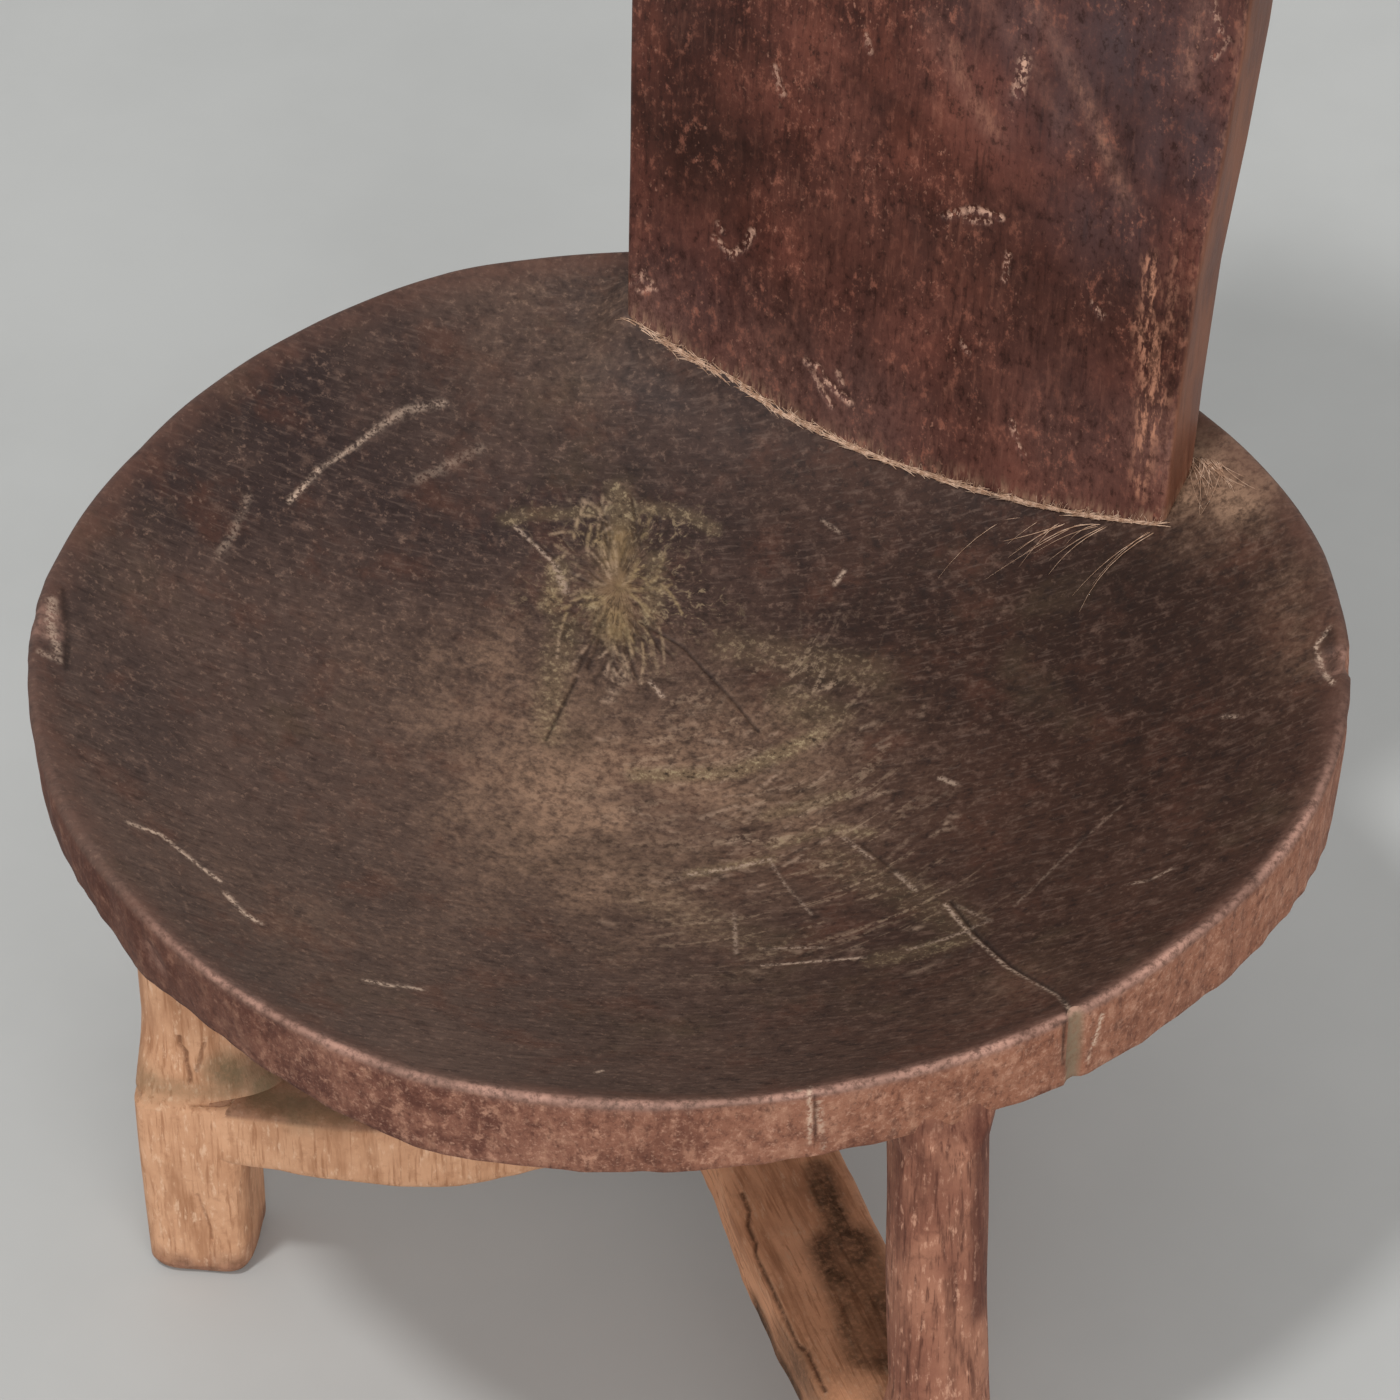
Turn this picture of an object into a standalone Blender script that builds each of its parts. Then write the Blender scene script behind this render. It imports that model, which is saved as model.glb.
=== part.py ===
"""Three-legged chieftain chair: a dished round seat, a leaning slab back, three
posts on knee blocks and feet, and a Y of stretchers that meet in a hub.

Metres, +Z up. The sitter faces -Y, so +X is the sitter's left. The origin is on
the floor under the middle of the chair's outline, and everything hangs on one
empty whose own origin is under the middle of the seat.
"""

import math

import bmesh
import bpy
from mathutils import Matrix, Vector

# Gap between two pieces that touch
FIT = 0.0003

# Seat dish
SEAT_RADIUS = 0.210
SEAT_HEIGHT = 0.250
RIM_HEIGHT = 0.0275
RIM_LIP = 0.009
RIM_EDGE = 0.002
DISH_DEPTH = 0.065
DISH_FLOOR = 0.022
UNDERSIDE_INSET = 0.001

# Back slab
BACK_TOP = 0.760
BACK_INSET = 0.066
BACK_LEAN = math.radians(5.0)
BACK_BASE_WIDTH = 0.205
BACK_TOP_WIDTH = 0.240
BACK_BASE_THICKNESS = 0.025
BACK_TOP_THICKNESS = 0.023
BACK_CROWN = 0.055
BACK_EDGE = 0.003
BACK_TENON_WIDTH = 0.044
BACK_TENON_THICKNESS = 0.012
BACK_TENON_SPREAD = 0.116
BACK_WEDGE_LENGTH = 0.018

# Legs: one row each gives the name, the bearing of the post around the seat axis,
# how far the post stands in from the seat's edge at the underside of the rim, the
# outward splay of the post, the post's radius, how far the stretcher turns where it
# meets the knee, and the side that the knee stands out to, seen along the stretcher
# from the hub.
LEGS = (
    ("front_left", math.radians(-38.6), 0.0158, math.radians(4.0), 0.0152, math.radians(-2.8), -1),
    ("front_right", math.radians(-143.7), 0.0461, math.radians(1.0), 0.0170, math.radians(-17.5), 1),
    ("rear", math.radians(90.0), 0.0450, math.radians(2.0), 0.0160, 0.0, 0),
)
LEG_TENON_RADIUS = 0.009
LEG_TENON_COVER = 0.010
LEG_WEDGE_LENGTH = 0.010

# Knee blocks and feet
KNEE_MARGIN = 0.0012
KNEE_BACK_MARGIN = 0.001
KNEE_EDGE = 0.002
KNEE_FLARE = 0.026
FOOT_WIDTH = 0.036
FOOT_EDGE = 0.003

# How square a leg's section is: 2 is round, more is squarer
POST_SQUARENESS = 2.2
FLARE_SQUARENESS = 3.0
FOOT_SQUARENESS = 5.0
KNEE_SQUARENESS = 6.0

# Stretchers and their hub
ARM_TOP = 0.083
ARM_THICKNESS = 0.026
ARM_WIDTH = 0.041
ARM_EDGE = 0.004
ARM_TENON_WIDTH = 0.020
ARM_TENON_HEIGHT = 0.013
ARM_TENON_LENGTH = 0.014
ARM_COPE = 0.006
ARM_STRAIGHT = 0.62
HUB_RADIUS = 0.036
HUB_THICKNESS = 0.028
HUB_Y = 0.010
HUB_EDGE = 0.003

# Wedges
WEDGE_TIP = 0.0010
WEDGE_SLOPE = 0.05

# How finely the round shapes are cut up
SEAT_STEPS = 72
DISH_STEPS = 10
POST_STEPS = 28
CORNER_STEPS = 3
CROWN_STEPS = 24
ARM_STEPS = 8

# How far a cutter runs past what it cuts
REACH = 0.05

DARK_WOOD = (0.072, 0.047, 0.033)
BROWN_WOOD = (0.135, 0.066, 0.038)
RAW_WOOD = (0.300, 0.150, 0.070)
WEDGE_WOOD = (0.330, 0.200, 0.110)


def clear_scene():
    """Start from an empty scene."""
    for thing in list(bpy.data.objects):
        bpy.data.objects.remove(thing, do_unlink=True)


def wood(name, colour, roughness):
    """One plain wood material."""
    material = bpy.data.materials.new(name)
    material.use_nodes = True
    shader = material.node_tree.nodes["Principled BSDF"]
    shader.inputs["Base Color"].default_value = (*colour, 1.0)
    shader.inputs["Roughness"].default_value = roughness
    shader.inputs["Metallic"].default_value = 0.0
    return material


def add_object(name, shape, parent, material=None):
    """Make an object out of a bmesh; without a material it is a helper that only
    cuts or joins and is not a piece of the chair."""
    bmesh.ops.recalc_face_normals(shape, faces=shape.faces)
    mesh = bpy.data.meshes.new(name)
    shape.to_mesh(mesh)
    shape.free()
    mesh.shade_smooth()
    mesh.set_sharp_from_angle(angle=math.radians(35.0))
    thing = bpy.data.objects.new(name, mesh)
    bpy.context.scene.collection.objects.link(thing)
    thing.parent = parent
    if material is None:
        thing.hide_render = True
        thing.display_type = "WIRE"
    else:
        mesh.materials.append(material)
    return thing


def combine(thing, operation, helper):
    """Join a helper to an object, or cut it out."""
    change = thing.modifiers.new(helper.name, "BOOLEAN")
    change.operation = operation
    change.solver = "EXACT"
    change.object = helper


def loft(rings):
    """Closed solid through rings of points, with flat ends."""
    shape = bmesh.new()
    loops = [[shape.verts.new(point) for point in ring] for ring in rings]
    count = len(loops[0])
    for lower, upper in zip(loops, loops[1:]):
        for index in range(count):
            after = (index + 1) % count
            shape.faces.new((lower[index], lower[after], upper[after], upper[index]))
    shape.faces.new(reversed(loops[0]))
    shape.faces.new(loops[-1])
    return shape


def turned(profile):
    """Solid of revolution of a profile that starts and ends on the Z axis."""
    shape = bmesh.new()
    points = [shape.verts.new((radius, 0.0, height)) for radius, height in profile]
    edges = [shape.edges.new(pair) for pair in zip(points, points[1:])]
    bmesh.ops.spin(
        shape,
        geom=points + edges,
        cent=(0.0, 0.0, 0.0),
        axis=(0.0, 0.0, 1.0),
        angle=2.0 * math.pi,
        steps=SEAT_STEPS,
        use_merge=True,
    )
    bmesh.ops.remove_doubles(shape, verts=shape.verts, dist=1e-6)
    return shape


def circle(radius, height, centre=Vector((0.0, 0.0))):
    """Level ring of points."""
    ring = []
    for step in range(POST_STEPS):
        turn = 2.0 * math.pi * step / POST_STEPS
        across = radius * math.cos(turn)
        along = radius * math.sin(turn)
        ring.append(Vector((centre.x + across, centre.y + along, height)))
    return ring


def rounded_rectangle(length, width, corner):
    """Rectangle with round corners in the plane, centred on the origin."""
    points = []
    for quarter, (side_x, side_y) in enumerate(((1, 1), (-1, 1), (-1, -1), (1, -1))):
        centre = Vector((side_x * (length / 2 - corner), side_y * (width / 2 - corner)))
        for step in range(CORNER_STEPS + 1):
            turn = (quarter + step / CORNER_STEPS) * math.pi / 2
            points.append(centre + corner * Vector((math.cos(turn), math.sin(turn))))
    return points


def square_ring(half_length, half_width, squareness, height, centre, heading):
    """Level ring between round and square, its length along a heading."""
    across = turn_left(heading)
    ring = []
    for step in range(POST_STEPS):
        turn = 2.0 * math.pi * step / POST_STEPS
        along_share = abs(math.cos(turn)) ** squareness / half_length ** squareness
        across_share = abs(math.sin(turn)) ** squareness / half_width ** squareness
        reach = (along_share + across_share) ** (-1.0 / squareness)
        place = centre + heading * reach * math.cos(turn) + across * reach * math.sin(turn)
        ring.append(Vector((place.x, place.y, height)))
    return ring


def block(low, high):
    """Box between two corners."""
    rings = []
    for height in (low[2], high[2]):
        ring = [(low[0], low[1]), (high[0], low[1]), (high[0], high[1]), (low[0], high[1])]
        rings.append([Vector((x, y, height)) for x, y in ring])
    return loft(rings)


def flat(vector):
    """The level part of a vector."""
    return Vector((vector[0], vector[1]))


def turn_left(vector):
    """Level vector turned a quarter to the left."""
    return Vector((-vector.y, vector.x))


def rotated(vector, angle):
    """Level vector turned by an angle."""
    return flat(Matrix.Rotation(angle, 2) @ vector)


# Seat surfaces, as heights below the rim's top at a distance from the seat's axis

DISH_RADIUS = SEAT_RADIUS - RIM_LIP
UNDERSIDE_RADIUS = SEAT_RADIUS - UNDERSIDE_INSET
BOWL_DEPTH = DISH_DEPTH + DISH_FLOOR - RIM_HEIGHT


def dish_height(radius):
    return -DISH_DEPTH * (1.0 - (radius / DISH_RADIUS) ** 2)


def underside_height(radius):
    return -RIM_HEIGHT - BOWL_DEPTH * (1.0 - (radius / UNDERSIDE_RADIUS) ** 2)


def dish_profile(lift):
    """Dish surface from the axis out to the lip."""
    radii = [DISH_RADIUS * step / DISH_STEPS for step in range(DISH_STEPS + 1)]
    return [(radius, dish_height(radius) + lift) for radius in radii]


def underside_profile(lift):
    """Underside from the rim in to the axis."""
    radii = [UNDERSIDE_RADIUS * (1.0 - step / DISH_STEPS) for step in range(DISH_STEPS + 1)]
    return [(radius, underside_height(radius) + lift) for radius in radii]


def seat_solid():
    """Dish, lip, upright rim and bowl-shaped underside."""
    rim = [
        (SEAT_RADIUS - RIM_EDGE, 0.0),
        (SEAT_RADIUS, -RIM_EDGE),
        (SEAT_RADIUS, -RIM_HEIGHT + RIM_EDGE),
    ]
    return turned(dish_profile(0.0) + rim + underside_profile(0.0))


def region_in_dish():
    """Everything lower than the dish surface, less the fit."""
    outside = SEAT_RADIUS + REACH
    floor = -SEAT_HEIGHT
    return turned(dish_profile(FIT) + [(outside, FIT), (outside, floor), (0.0, floor)])


def region_over_underside():
    """Everything higher than the seat's underside, less the fit."""
    outside = SEAT_RADIUS + REACH
    ceiling = SEAT_HEIGHT
    return turned([(0.0, ceiling), (outside, ceiling), (outside, -RIM_HEIGHT - FIT)]
                  + underside_profile(-FIT))


def region_under_underside():
    """Everything lower than the seat's underside."""
    outside = SEAT_RADIUS + REACH
    floor = -SEAT_HEIGHT
    rising = list(reversed(underside_profile(0.0)))
    return turned(rising + [(outside, -RIM_HEIGHT), (outside, floor), (0.0, floor)])


# Back slab, in its own frame: x across, y through the slab from its front face, z up
# along the slab from where its middle meets the dish

BACK_FRONT = SEAT_RADIUS - BACK_INSET
BACK_FOOT_HEIGHT = SEAT_HEIGHT + dish_height(BACK_FRONT)
BACK_LENGTH = (BACK_TOP - BACK_FOOT_HEIGHT) / math.cos(BACK_LEAN)
BACK_ROOT = RIM_HEIGHT + BOWL_DEPTH


def back_half_width(up):
    return (BACK_BASE_WIDTH + (BACK_TOP_WIDTH - BACK_BASE_WIDTH) * up / BACK_LENGTH) / 2


def back_thickness(up):
    return BACK_BASE_THICKNESS + (BACK_TOP_THICKNESS - BACK_BASE_THICKNESS) * up / BACK_LENGTH


def back_outline(inset):
    """Sides that widen upward and a flat-arched crown with round shoulders."""
    shoulder = BACK_LENGTH - BACK_CROWN
    points = [(back_half_width(-BACK_ROOT) - inset, -BACK_ROOT)]
    for step in range(CROWN_STEPS + 1):
        turn = math.pi * step / CROWN_STEPS
        side = math.copysign(abs(math.cos(turn)) ** 0.6, math.cos(turn))
        rise = max(math.sin(turn), 0.0) ** 0.6
        up = shoulder + (BACK_CROWN - inset) * rise
        points.append(((back_half_width(shoulder) - inset) * side, up))
    points.append((-back_half_width(-BACK_ROOT) + inset, -BACK_ROOT))
    return points


def back_solid():
    """The slab, with its front and back edges rounded over."""
    rings = []
    for inset, share in ((1.0, 0.0), (0.3, 0.3), (0.0, 1.0)):
        outline = back_outline(inset * BACK_EDGE)
        rings.append([Vector((x, share * BACK_EDGE, up)) for x, up in outline])
    for inset, share in ((0.0, 1.0), (0.3, 0.3), (1.0, 0.0)):
        outline = back_outline(inset * BACK_EDGE)
        rings.append([Vector((x, back_thickness(up) - share * BACK_EDGE, up)) for x, up in outline])
    return loft(rings)


def back_tenon(side, clearance):
    """One of the two tenons, or its mortise when it is given a clearance."""
    middle = side * BACK_TENON_SPREAD / 2
    half_width = BACK_TENON_WIDTH / 2 + clearance
    half_depth = BACK_TENON_THICKNESS / 2 + clearance
    centre = BACK_BASE_THICKNESS / 2
    return block((middle - half_width, centre - half_depth, -BACK_ROOT),
                 (middle + half_width, centre + half_depth, BACK_ROOT))


def back_wedge(side, clearance, overrun):
    """A wedge that points up into a tenon, or its slot with clearance and overrun."""
    middle = side * BACK_TENON_SPREAD / 2
    radius = math.hypot(middle, BACK_FRONT + BACK_BASE_THICKNESS / 2)
    mouth = underside_height(radius) - dish_height(BACK_FRONT)
    tip = mouth + BACK_WEDGE_LENGTH
    half_depth = BACK_TENON_THICKNESS / 2 + overrun
    centre = BACK_BASE_THICKNESS / 2
    rings = []
    for height in (-BACK_ROOT, tip + clearance):
        half = WEDGE_TIP / 2 + WEDGE_SLOPE * (tip - min(height, tip)) + clearance
        corners = ((-half, -half_depth), (half, -half_depth), (half, half_depth), (-half, half_depth))
        rings.append([Vector((middle + x, centre + y, height)) for x, y in corners])
    return loft(rings)


# Stretcher arms, legs and hub

ARM_MIDDLE = ARM_TOP - ARM_THICKNESS / 2
ARM_BOTTOM = ARM_TOP - ARM_THICKNESS
HUB = Vector((0.0, HUB_Y))


class Leg:
    """Where one leg stands, and how its stretcher comes in to its knee."""

    def __init__(self, name, bearing, inset, splay, post_radius, toe, side):
        self.name = name
        self.outward = Vector((math.cos(bearing), math.sin(bearing)))
        self.rim_radius = SEAT_RADIUS - inset
        self.slope = math.tan(splay)
        self.post_radius = post_radius
        self.knee_half_length = post_radius + KNEE_MARGIN
        at_knee = self.post(ARM_TOP)
        self.heading = rotated((at_knee - HUB).normalized(), toe)
        set_back = ARM_WIDTH / 2 - post_radius - KNEE_BACK_MARGIN
        self.knee = at_knee + side * set_back * turn_left(self.heading)
        self.arm_end = self.knee - self.heading * (self.knee_half_length - ARM_COPE)
        reach = (self.arm_end - HUB).length
        self.arm_bend = self.arm_end - self.heading * reach * ARM_STRAIGHT
        self.arm_start = (self.arm_bend - HUB).normalized()

    def radius(self, height):
        """Distance of the post's middle from the seat axis at a height."""
        return self.rim_radius + self.slope * (SEAT_HEIGHT - RIM_HEIGHT - height)

    def post(self, height):
        """Middle of the post at a height."""
        return self.outward * self.radius(height)

    def tenon_top(self):
        """Height of the tenon's end, with enough wood left under the dish."""
        nearest = self.rim_radius - LEG_TENON_RADIUS
        return SEAT_HEIGHT + dish_height(nearest) - LEG_TENON_COVER

    def tenon_root(self):
        """Height well down in the post, where the tenon starts."""
        lowest = underside_height(self.rim_radius - self.post_radius)
        return SEAT_HEIGHT + lowest - self.post_radius

    def arm_point(self, along):
        """Middle of the stretcher, from the hub at 0 to the knee at 1."""
        back = 1.0 - along
        return back * back * HUB + 2.0 * back * along * self.arm_bend + along * along * self.arm_end

    def arm_heading(self, along):
        """Level direction of the stretcher, outward."""
        start = (1.0 - along) * (self.arm_bend - HUB)
        return (start + along * (self.arm_end - self.arm_bend)).normalized()


def leg_rings(leg, clearance):
    """Foot that widens up to the knee block, square to the stretcher, and flares in
    to a plain post that runs up past the seat's underside."""
    foot = FOOT_WIDTH / 2 + clearance
    long = leg.knee_half_length + clearance
    wide = ARM_WIDTH / 2 + clearance
    post = leg.post_radius + clearance
    flare_top = ARM_TOP + KNEE_FLARE
    flare_middle = ARM_TOP + KNEE_FLARE / 3
    waist = (leg.knee + 2 * leg.post(flare_middle)) / 3
    top = SEAT_HEIGHT - RIM_EDGE
    rows = (
        (foot - FOOT_EDGE, foot - FOOT_EDGE, FOOT_SQUARENESS, 0.0, leg.knee),
        (foot, foot, FOOT_SQUARENESS, FOOT_EDGE, leg.knee),
        (long, wide, KNEE_SQUARENESS, ARM_BOTTOM, leg.knee),
        (long, wide, KNEE_SQUARENESS, ARM_TOP - KNEE_EDGE, leg.knee),
        (long - KNEE_EDGE, wide - KNEE_EDGE, KNEE_SQUARENESS, ARM_TOP, leg.knee),
        ((long + 2 * post) / 3, (wide + 2 * post) / 3, FLARE_SQUARENESS, flare_middle, waist),
        (post, post, POST_SQUARENESS, flare_top, leg.post(flare_top)),
        (post, post, POST_SQUARENESS, top, leg.post(top)),
    )
    return [square_ring(*row, leg.heading) for row in rows]


def leg_tenon(leg, clearance):
    """Round tenon into the seat's underside, or its mortise with a clearance."""
    low = leg.tenon_root()
    high = leg.tenon_top() + clearance
    radius = LEG_TENON_RADIUS + clearance
    return loft([circle(radius, low, leg.post(low)), circle(radius, high, leg.post(high))])


def leg_wedge(leg, clearance, overrun):
    """Wedge in the end of a leg tenon, or its slot with clearance and overrun."""
    top = leg.tenon_top()
    tip = top - LEG_WEDGE_LENGTH
    across = turn_left(leg.outward)
    reach = LEG_TENON_RADIUS - 2 * FIT + overrun
    rings = []
    for height in (tip - clearance, top + overrun):
        half = WEDGE_TIP / 2 + WEDGE_SLOPE * (max(height, tip) - tip) + clearance
        middle = leg.post(height)
        corners = (
            middle - across * reach - leg.outward * half,
            middle + across * reach - leg.outward * half,
            middle + across * reach + leg.outward * half,
            middle - across * reach + leg.outward * half,
        )
        rings.append([Vector((corner.x, corner.y, height)) for corner in corners])
    return loft(rings)


def bar_solid(leg):
    """Stretcher bar along its path, with rounded edges."""
    section = rounded_rectangle(ARM_WIDTH, ARM_THICKNESS, ARM_EDGE)
    rings = []
    for step in range(ARM_STEPS + 1):
        along = step / ARM_STEPS
        middle = leg.arm_point(along)
        across = turn_left(leg.arm_heading(along))
        ring = []
        for point in section:
            place = middle + across * point.x
            ring.append(Vector((place.x, place.y, ARM_MIDDLE + point.y)))
        rings.append(ring)
    return loft(rings)


def bar_tenon(origin, heading, start, end, clearance):
    """Flat tenon that runs along a heading from a point, or its mortise."""
    across = turn_left(heading)
    half_width = ARM_TENON_WIDTH / 2 + clearance
    half_height = ARM_TENON_HEIGHT / 2 + clearance
    rings = []
    for distance in (start, end):
        middle = origin + heading * distance
        corners = ((-1, -1), (1, -1), (1, 1), (-1, 1))
        ring = []
        for side, up in corners:
            place = middle + across * side * half_width
            ring.append(Vector((place.x, place.y, ARM_MIDDLE + up * half_height)))
        rings.append(ring)
    return loft(rings)


def hub_solid(clearance):
    """Round hub, or the space that the bars keep clear of it."""
    radius = HUB_RADIUS + clearance
    half = HUB_THICKNESS / 2 + clearance
    rows = (
        (radius - HUB_EDGE, -half),
        (radius, -half + HUB_EDGE),
        (radius, half - HUB_EDGE),
        (radius - HUB_EDGE, half),
    )
    if clearance:
        rows = ((radius, -half), (radius, half))
    return loft([circle(width, ARM_MIDDLE + height, HUB) for width, height in rows])


def build_seat(chair, legs, back_frame):
    seat = add_object("seat_dish", seat_solid(), chair, wood("seat_wood", DARK_WOOD, 0.45))
    seat.location.z = SEAT_HEIGHT
    for leg in legs:
        combine(seat, "DIFFERENCE", add_object("seat_mortise_" + leg.name, leg_tenon(leg, FIT), chair))
    for name, side in (("left", 1), ("right", -1)):
        mortise = add_object("back_mortise_" + name, back_tenon(side, FIT), back_frame)
        combine(seat, "DIFFERENCE", mortise)


def build_back(chair, back_frame):
    back = add_object("backrest", back_solid(), back_frame, wood("back_wood", BROWN_WOOD, 0.5))
    dish = add_object("dish_space", region_in_dish(), chair)
    below = add_object("space_under_seat", region_under_underside(), chair)
    dish.location.z = SEAT_HEIGHT
    below.location.z = SEAT_HEIGHT
    combine(back, "DIFFERENCE", dish)
    for name, side in (("left", 1), ("right", -1)):
        combine(back, "UNION", add_object("back_tenon_" + name, back_tenon(side, 0.0), back_frame))
    combine(back, "DIFFERENCE", below)
    for name, side in (("left", 1), ("right", -1)):
        slot = add_object("back_slot_" + name, back_wedge(side, FIT, REACH), back_frame)
        combine(back, "DIFFERENCE", slot)
        wedge = add_object("back_wedge_" + name, back_wedge(side, 0.0, 0.0), back_frame,
                           wood("back_wedge_wood_" + name, WEDGE_WOOD, 0.6))
        combine(wedge, "DIFFERENCE", below)


def build_leg(chair, leg, above, material):
    post = add_object("leg_" + leg.name, loft(leg_rings(leg, 0.0)), chair, material)
    combine(post, "DIFFERENCE", above)
    combine(post, "UNION", add_object("tenon_" + leg.name, leg_tenon(leg, 0.0), chair))
    combine(post, "DIFFERENCE", add_object("slot_" + leg.name, leg_wedge(leg, FIT, REACH), chair))
    mortise = bar_tenon(leg.arm_end, leg.heading, -REACH, ARM_COPE + ARM_TENON_LENGTH + FIT, FIT)
    combine(post, "DIFFERENCE", add_object("knee_mortise_" + leg.name, mortise, chair))
    add_object("leg_wedge_" + leg.name, leg_wedge(leg, 0.0, 0.0), chair,
               wood("leg_wedge_wood_" + leg.name, WEDGE_WOOD, 0.6))


def build_stretcher(chair, leg, material):
    """A bar coped to the knee that it meets, with a tenon into it."""
    bar = add_object("stretcher_" + leg.name, bar_solid(leg), chair, material)
    combine(bar, "DIFFERENCE", add_object("knee_space_" + leg.name, loft(leg_rings(leg, FIT)), chair))
    tenon = bar_tenon(leg.arm_end, leg.heading, -2 * ARM_COPE, ARM_COPE + ARM_TENON_LENGTH, 0.0)
    combine(bar, "UNION", add_object("bar_tenon_" + leg.name, tenon, chair))
    return bar


def build_front_stretcher(chair, leg, rear, hub_space, material):
    """A bar whose inner end is shouldered to the round hub and tenoned into it."""
    bar = build_stretcher(chair, leg, material)
    combine(bar, "DIFFERENCE", hub_space)
    bottom = HUB_RADIUS - ARM_TENON_LENGTH
    tenon = bar_tenon(HUB, leg.arm_start, bottom, HUB_RADIUS + ARM_TENON_LENGTH, 0.0)
    combine(bar, "UNION", add_object("hub_tenon_" + leg.name, tenon, chair))
    mortise = bar_tenon(HUB, leg.arm_start, bottom - FIT, HUB_RADIUS + REACH, FIT)
    combine(rear, "DIFFERENCE", add_object("hub_mortise_" + leg.name, mortise, chair))


def build_chair():
    chair = bpy.data.objects.new("chair", None)
    bpy.context.scene.collection.objects.link(chair)
    back_frame = bpy.data.objects.new("back_frame", None)
    bpy.context.scene.collection.objects.link(back_frame)
    back_frame.parent = chair
    back_frame.location = (0.0, BACK_FRONT, BACK_FOOT_HEIGHT)
    back_frame.rotation_euler.x = -BACK_LEAN

    back_reach = BACK_FRONT + BACK_LENGTH * math.sin(BACK_LEAN) + BACK_TOP_THICKNESS * math.cos(BACK_LEAN)
    chair.location.y = (SEAT_RADIUS - max(back_reach, SEAT_RADIUS)) / 2

    legs = [Leg(*row) for row in LEGS]
    woods = {
        "front_left": wood("leg_wood_front_left", BROWN_WOOD, 0.55),
        "front_right": wood("leg_wood_front_right", RAW_WOOD, 0.65),
        "rear": wood("leg_wood_rear", BROWN_WOOD, 0.6),
    }
    bar_woods = {
        "front_left": wood("stretcher_wood_front_left", BROWN_WOOD, 0.6),
        "front_right": wood("stretcher_wood_front_right", RAW_WOOD, 0.65),
        "rear": wood("stretcher_wood_rear", BROWN_WOOD, 0.6),
    }

    build_seat(chair, legs, back_frame)
    build_back(chair, back_frame)
    above = add_object("space_over_underside", region_over_underside(), chair)
    above.location.z = SEAT_HEIGHT
    for leg in legs:
        build_leg(chair, leg, above, woods[leg.name])

    rear = build_stretcher(chair, legs[2], bar_woods["rear"])
    combine(rear, "UNION", add_object("hub", hub_solid(0.0), chair))
    hub_space = add_object("hub_space", hub_solid(FIT), chair)
    for leg in legs[:2]:
        build_front_stretcher(chair, leg, rear, hub_space, bar_woods[leg.name])


clear_scene()
build_chair()
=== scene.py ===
"""The looks of a carved three-legged chair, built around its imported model.

Every piece is modelled in the row frame, in metres. The seat's axis stands at (0, SEAT_Y), and the
camera is the one that the photograph's view of the round rim gives.
"""

import math
from itertools import product
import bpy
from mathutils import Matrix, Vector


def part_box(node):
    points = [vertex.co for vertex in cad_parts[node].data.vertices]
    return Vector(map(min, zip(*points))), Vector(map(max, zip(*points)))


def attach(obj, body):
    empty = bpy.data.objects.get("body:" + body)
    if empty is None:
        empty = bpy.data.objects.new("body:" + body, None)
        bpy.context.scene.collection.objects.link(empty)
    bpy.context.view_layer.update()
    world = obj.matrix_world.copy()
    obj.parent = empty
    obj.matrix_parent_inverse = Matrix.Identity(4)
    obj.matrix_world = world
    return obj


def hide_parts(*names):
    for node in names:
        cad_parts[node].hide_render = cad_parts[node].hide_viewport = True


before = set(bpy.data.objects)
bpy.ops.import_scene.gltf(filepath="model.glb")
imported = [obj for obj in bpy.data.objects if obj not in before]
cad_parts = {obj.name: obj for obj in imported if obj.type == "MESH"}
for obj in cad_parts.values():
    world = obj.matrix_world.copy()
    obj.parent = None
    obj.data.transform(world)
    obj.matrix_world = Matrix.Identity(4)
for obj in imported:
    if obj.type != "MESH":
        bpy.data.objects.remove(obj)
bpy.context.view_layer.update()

from types import SimpleNamespace

import bmesh
import bpy
import numpy as np
from mathutils import Vector

# Camera, found by fitting the rim's ellipse in the photograph
IMAGE_SIZE = 1400
FOCAL_PIXELS = 5600.0
SENSOR_WIDTH = 36.0
CAMERA_AZIMUTH = math.radians(28.5)
CAMERA_ELEVATION = math.radians(41.098)
CAMERA_DISTANCE = 1.7887
CAMERA_RIGHT = 0.00463
CAMERA_UP = -0.01948

# Seat
SEAT_LOW, SEAT_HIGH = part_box("seat_dish")
SEAT_RADIUS = (SEAT_HIGH.x - SEAT_LOW.x) / 2
SEAT_Y = (SEAT_LOW.y + SEAT_HIGH.y) / 2
RIM_TOP = SEAT_HIGH.z
RIM_HEIGHT = 0.0275
RIM_ROUND = 0.0024
RIM_TURNS = np.radians(np.arange(112, -1, -14))
DISH_RADIUS = 0.2065
DISH_DEPTH = 0.065
UNDERSIDE_INSET = 0.001
UNDERSIDE_EDGE = 0.002
UNDERSIDE_DEPTH = 0.0595
SEAT_STEP = 0.0024
UNDERSIDE_STEP = 0.0048
WALL_ROWS = 14
FEWEST_COLUMNS = 18
PITH = (-0.0623, 0.0677)

# Back, a slab whose own axes are x across, y through it from the front face, z up along it
BACK_FRONT = 0.144
BACK_TOP = 0.760
BACK_LEAN = math.radians(5)
BACK_BASE_WIDTH = 0.205
BACK_TOP_WIDTH = 0.240
BACK_BASE_THICKNESS = 0.021
BACK_TOP_THICKNESS = 0.023
BACK_CROWN = 0.055
BACK_CROWN_POWER = 2 / 0.6
BACK_EDGE = 0.0022
# How far the seat's wood rises along the back's foot, as (place across it, millimetres)
BACK_FOOT_RISE = (
    (-0.1025, 11.0), (-0.063, 11.2), (-0.042, 8.0), (-0.0136, 5.6), (0.025, 4.2), (0.095, 0.0),
)
FOOT_RISE_REACH = 0.010
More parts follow.
